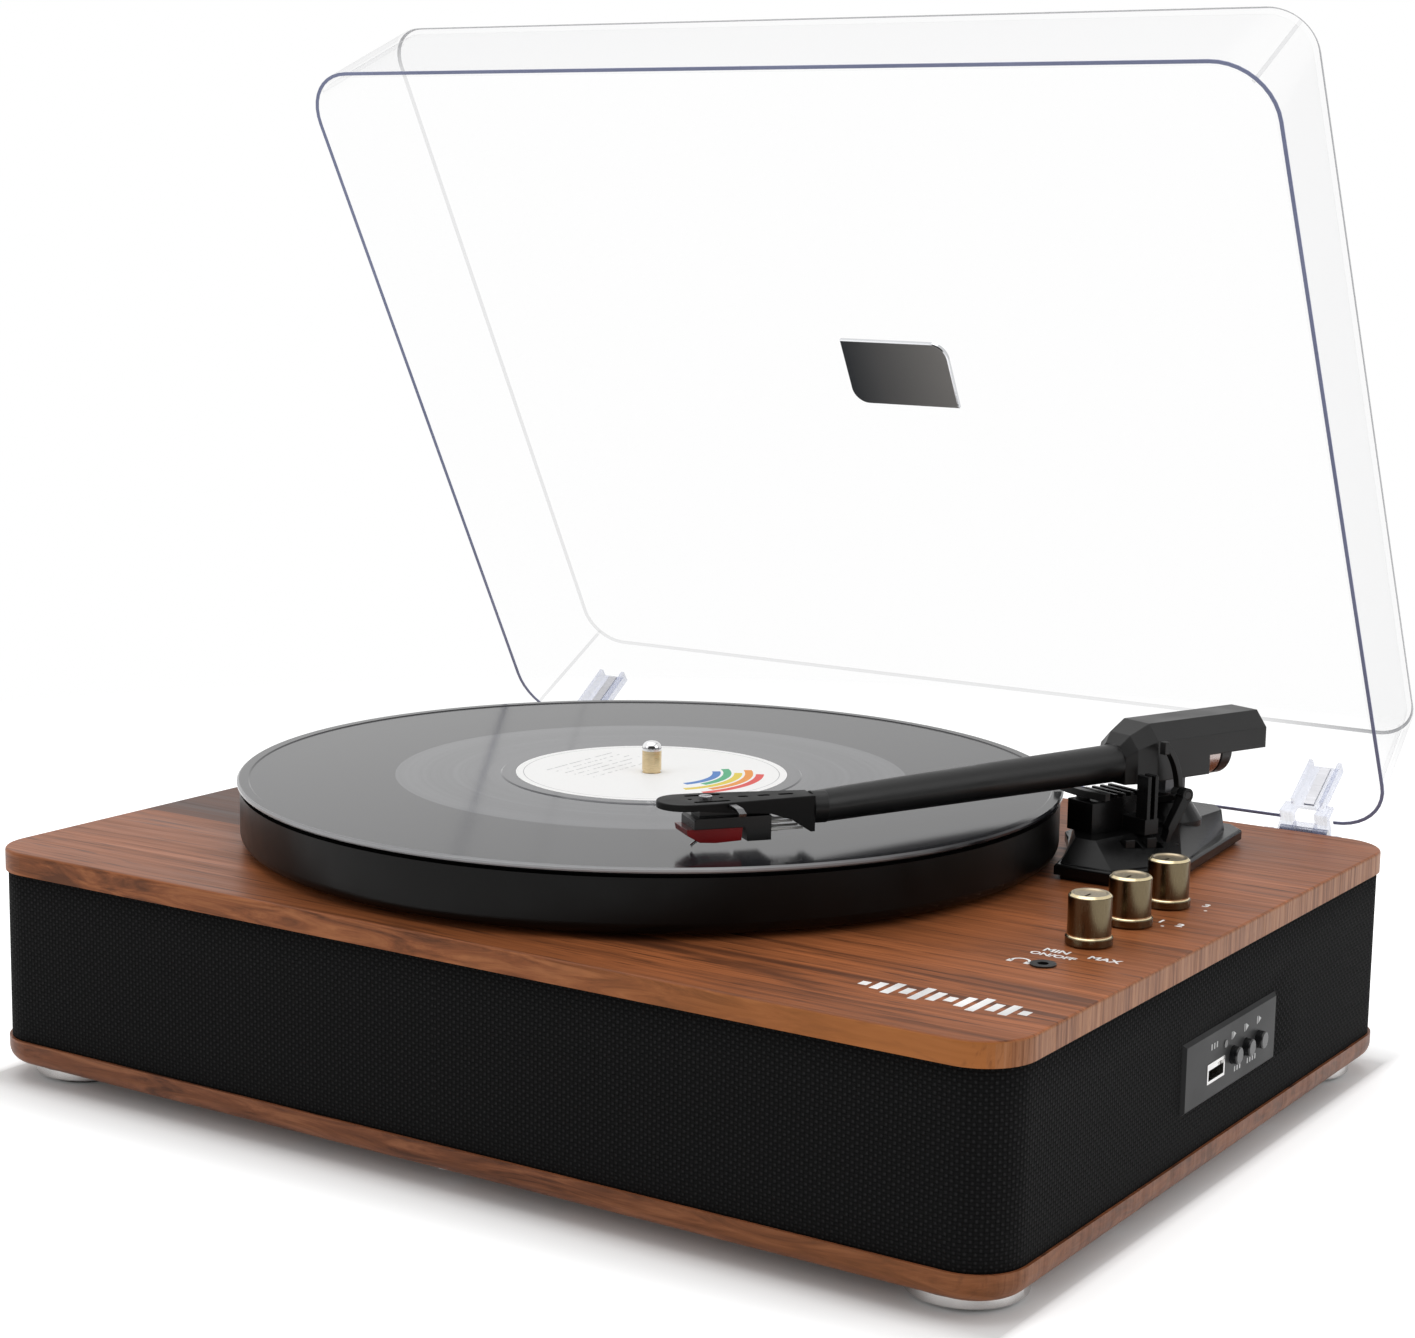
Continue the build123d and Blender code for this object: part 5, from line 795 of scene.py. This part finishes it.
WORDS = (
    ("MIN", 0.0050, 0.1700, -0.0572),
    ("ON/OFF", 0.0043, 0.1712, -0.0624),
    ("MAX", 0.0050, 0.1866, -0.0575),
    ("1", 0.0052, 0.1812, -0.0020),
    ("2", 0.0052, 0.1885, -0.0035),
    ("3", 0.0052, 0.1850, 0.0265),
)
EARS_X = 0.1655
EARS_R = 0.0030
BARS_X = 0.1390
BARS_Y = -0.1235
BAR_PITCH = 0.0049
BAR_WIDE = 0.0030
BAR_UNIT = 0.00124
BAR_LEVELS = (3.0, 6.0, 9.5, 5.0, 11.0, 7.5, 4.0, 8.5, 12.0, 6.5, 9.0, 3.5)
ticks = []
for text, size, x, y in WORDS:
    ticks += letters(text, size, x, y)
ticks += [dot(0.1840, -0.0060, 0.0006), dot(0.1875, 0.0215, 0.0006)]
ticks.append(arc(EARS_X, -0.0725, EARS_R, 0.0009, -10, 190, 16))
ticks += [bar(EARS_X + ear, -0.0722, 0.0, -0.0026, 0.0017) for ear in (-EARS_R, EARS_R)]
for i, tall in enumerate(BAR_LEVELS):
    ticks.append(bar(BARS_X + BAR_PITCH * i, BARS_Y - tall * BAR_UNIT / 2, 0.0, tall * BAR_UNIT, BAR_WIDE))
flat_print("board_print", ticks, on_board, ink, "cabinet")

# Signs on the side panel
panel_ink = plastic("print_grey", (0.5, 0.5, 0.5), 0.5, 0.02)


def on_panel(a, b, height):
    return (PANEL_FACE_X + height, PLINTH_Y + a, PANEL_Z + b)


BUTTONS_Y = (0.0079, 0.0188, 0.0297)
SIGN_FOOT = 0.0048
SIGN_TALL = 0.0026
STROKE_PITCH = 0.0022
STROKE_WIDE = 0.0009
signs = []
for y in BUTTONS_Y:
    signs.append(bar(y - 0.0016, SIGN_FOOT, 0.0, SIGN_TALL, 0.0006))
    tail, tip = y - 0.0006, y + 0.0018
    signs.append([(tail, SIGN_FOOT), (tip, SIGN_FOOT + SIGN_TALL / 2), (tail, SIGN_FOOT + SIGN_TALL)])
signs += [bar(0.0098 + STROKE_PITCH * k, -0.0071, 0.0, 0.0018, STROKE_WIDE) for k in (0, 1, 2, 5, 6, 7, 8)]
signs += [bar(-0.0105 + STROKE_PITCH * k, 0.0052, 0.0, 0.0020, STROKE_WIDE) for k in range(3)]
flat_print("panel_print", signs, on_panel, panel_ink, "cabinet")

# Gold contacts on the socket's tongue
gold = metal("contact_gold", (0.80, 0.58, 0.25), 0.2)
SOCKET_Y = -0.0066
TONGUE_DROP = 0.00205
CONTACTS_Y = (-0.0035, -0.0012, 0.0012, 0.0035)
CONTACT_HALF = 0.0005
CONTACT_IN = 0.1965
CONTACT_OUT = 0.2030


def under_tongue(a, b, height):
    return (b, PLINTH_Y + SOCKET_Y + a, PANEL_Z - TONGUE_DROP - height)


strips = []
for y in CONTACTS_Y:
    low, high = y - CONTACT_HALF, y + CONTACT_HALF
    strips.append([(low, CONTACT_IN), (high, CONTACT_IN), (high, CONTACT_OUT), (low, CONTACT_OUT)])
flat_print("socket_contacts", strips, under_tongue, gold, "cabinet", 0.00008)

# Camera as solved from the photograph
azimuth, elevation, roll = (math.radians(d) for d in (32.945, 9.461, 0.974))
right = Vector((math.cos(azimuth), math.sin(azimuth), 0))
level_back = Vector((math.sin(azimuth), -math.cos(azimuth), 0))
back = math.cos(elevation) * level_back + math.sin(elevation) * Vector((0, 0, 1))
up = back.cross(right)
right, up = math.cos(roll) * right + math.sin(roll) * up, -math.sin(roll) * right + math.cos(roll) * up
eye = Vector((0.5397, -0.8322 + PLINTH_Y, TOP_Z + 0.2308))
lens = bpy.data.cameras.new("camera")
lens.sensor_fit = "HORIZONTAL"
lens.sensor_width = 36.0
lens.lens = 70.68
lens.clip_start = 0.01
camera = bpy.data.objects.new("camera", lens)
camera.matrix_world = Matrix(((right.x, up.x, back.x, eye.x), (right.y, up.y, back.y, eye.y),
                              (right.z, up.z, back.z, eye.z), (0, 0, 0, 1)))
bpy.context.scene.collection.objects.link(camera)
bpy.context.scene.camera = camera


def lamp(name, place, size, power):
    """A square soft lamp that points at the player."""
    aim = Vector((0, 0, 0.05))
    made = bpy.data.lights.new(name, "AREA")
    made.shape = "SQUARE"
    made.size = size
    made.energy = power
    obj = bpy.data.objects.new(name, made)
    obj.location = place
    obj.rotation_euler = (aim - Vector(place)).to_track_quat("-Z", "Y").to_euler()
    bpy.context.scene.collection.objects.link(obj)


# Soft studio light: one broad lamp above, one from the right, a weak one in front
lamp("lamp_above", (-0.2, -0.1, 1.7), 1.6, 10.5)
lamp("lamp_right", (1.5, 0.1, 0.9), 1.0, 5.0)
lamp("lamp_front", (-0.9, -1.5, 0.8), 1.0, 3.0)

# Surroundings: white where seen, even for soft light, and dark on the viewer's side for reflections
world = bpy.data.worlds.new("studio")
world.use_nodes = True
net = Net(world.node_tree)
sky = net.node("ShaderNodeBackground")
net.tree.links.new(sky.outputs[0], net.node("ShaderNodeOutputWorld").inputs[0])
rays = net.node("ShaderNodeLightPath").outputs
toward = net.place("Generated")
far_side = (-0.5438, 0.8392, 0.0)
right_side = (0.8392, 0.5438, 0.0)
behind = net.vector("DOT_PRODUCT", toward, far_side)
height = net.parts(toward)[2]
mirrored = net.span(net.calc("ADD", behind, net.calc("MULTIPLY", height, 1.1)), -0.1, 0.45, 0.03, 1.0)
sideways = net.vector("DOT_PRODUCT", toward, right_side)
mirrored = net.calc("MULTIPLY", mirrored, net.span(sideways, -0.15, 0.12, 1.0, 0.85))
level = net.mix(rays["Is Glossy Ray"], (0.55, 0.55, 0.55), mirrored)
level = net.mix(net.calc("MAXIMUM", rays["Is Camera Ray"], rays["Is Transmission Ray"]), level, (1, 1, 1))
net.feed(sky.inputs[0], level)
bpy.context.scene.world = world


def floor_material():
    """A pale floor that glows less next to the plinth, a painted shadow that deepens the rendered one, and
    fades to the white background.
    """
    fade_from, fade_to = 0.42, 0.85
    side_steepness = 6.0
    pale = (0.9, 0.9, 0.9)
    s = Shade("floor_pale", pale, 0.8, Specular_IOR_Level=0.0)
    rays = s.node("ShaderNodeLightPath").outputs
    looked = s.calc("MAXIMUM", rays["Is Glossy Ray"], rays["Is Transmission Ray"])
    looked = s.calc("MAXIMUM", rays["Is Camera Ray"], looked)
    away = s.span(s.vector("LENGTH", s.place()), fade_from, fade_to)
    s.put("Base Color", s.mix(s.calc("MULTIPLY", looked, away), pale, (0.0, 0.0, 0.0)))
    s.put("Emission Color", (1.0, 1.0, 1.0))
    x, y, _ = s.parts(s.place())
    across = s.calc("ABSOLUTE", x)
    along = s.calc("ABSOLUTE", s.calc("SUBTRACT", y, PLINTH_Y))
    side = s.calc("MAXIMUM", s.calc("SUBTRACT", across, PLINTH_HALF_W), 0.0)
    deep = s.calc("MAXIMUM", s.calc("SUBTRACT", along, PLINTH_HALF_D), 0.0)
    clear_of = s.vector("LENGTH", s.join(s.calc("MULTIPLY", side, side_steepness), deep))
    # Painted shadow: the floor's glow is held near zero at the plinth and rises away from it, fastest at the
    # sides.
    painted_glow = s.ramp(s.span(clear_of, 0.0, 0.4), (0.0, 0.02), (0.02, 0.24), (0.07, 0.46), (0.35, 0.6))
    s.put("Emission Strength", s.calc("MULTIPLY", looked, s.mix(away, painted_glow, (1.0, 1.0, 1.0))))
    return s.mat


# Floor: a wide disc that isn't part of the object
floor_mesh = bpy.data.meshes.new("floor")
ring = bmesh.new()
bmesh.ops.create_circle(ring, cap_ends=True, segments=96, radius=6.0)
ring.to_mesh(floor_mesh)
ring.free()
floor_mesh.materials.append(floor_material())
floor = bpy.data.objects.new("floor", floor_mesh)
bpy.context.scene.collection.objects.link(floor)

bpy.context.scene.view_settings.view_transform = "Standard"
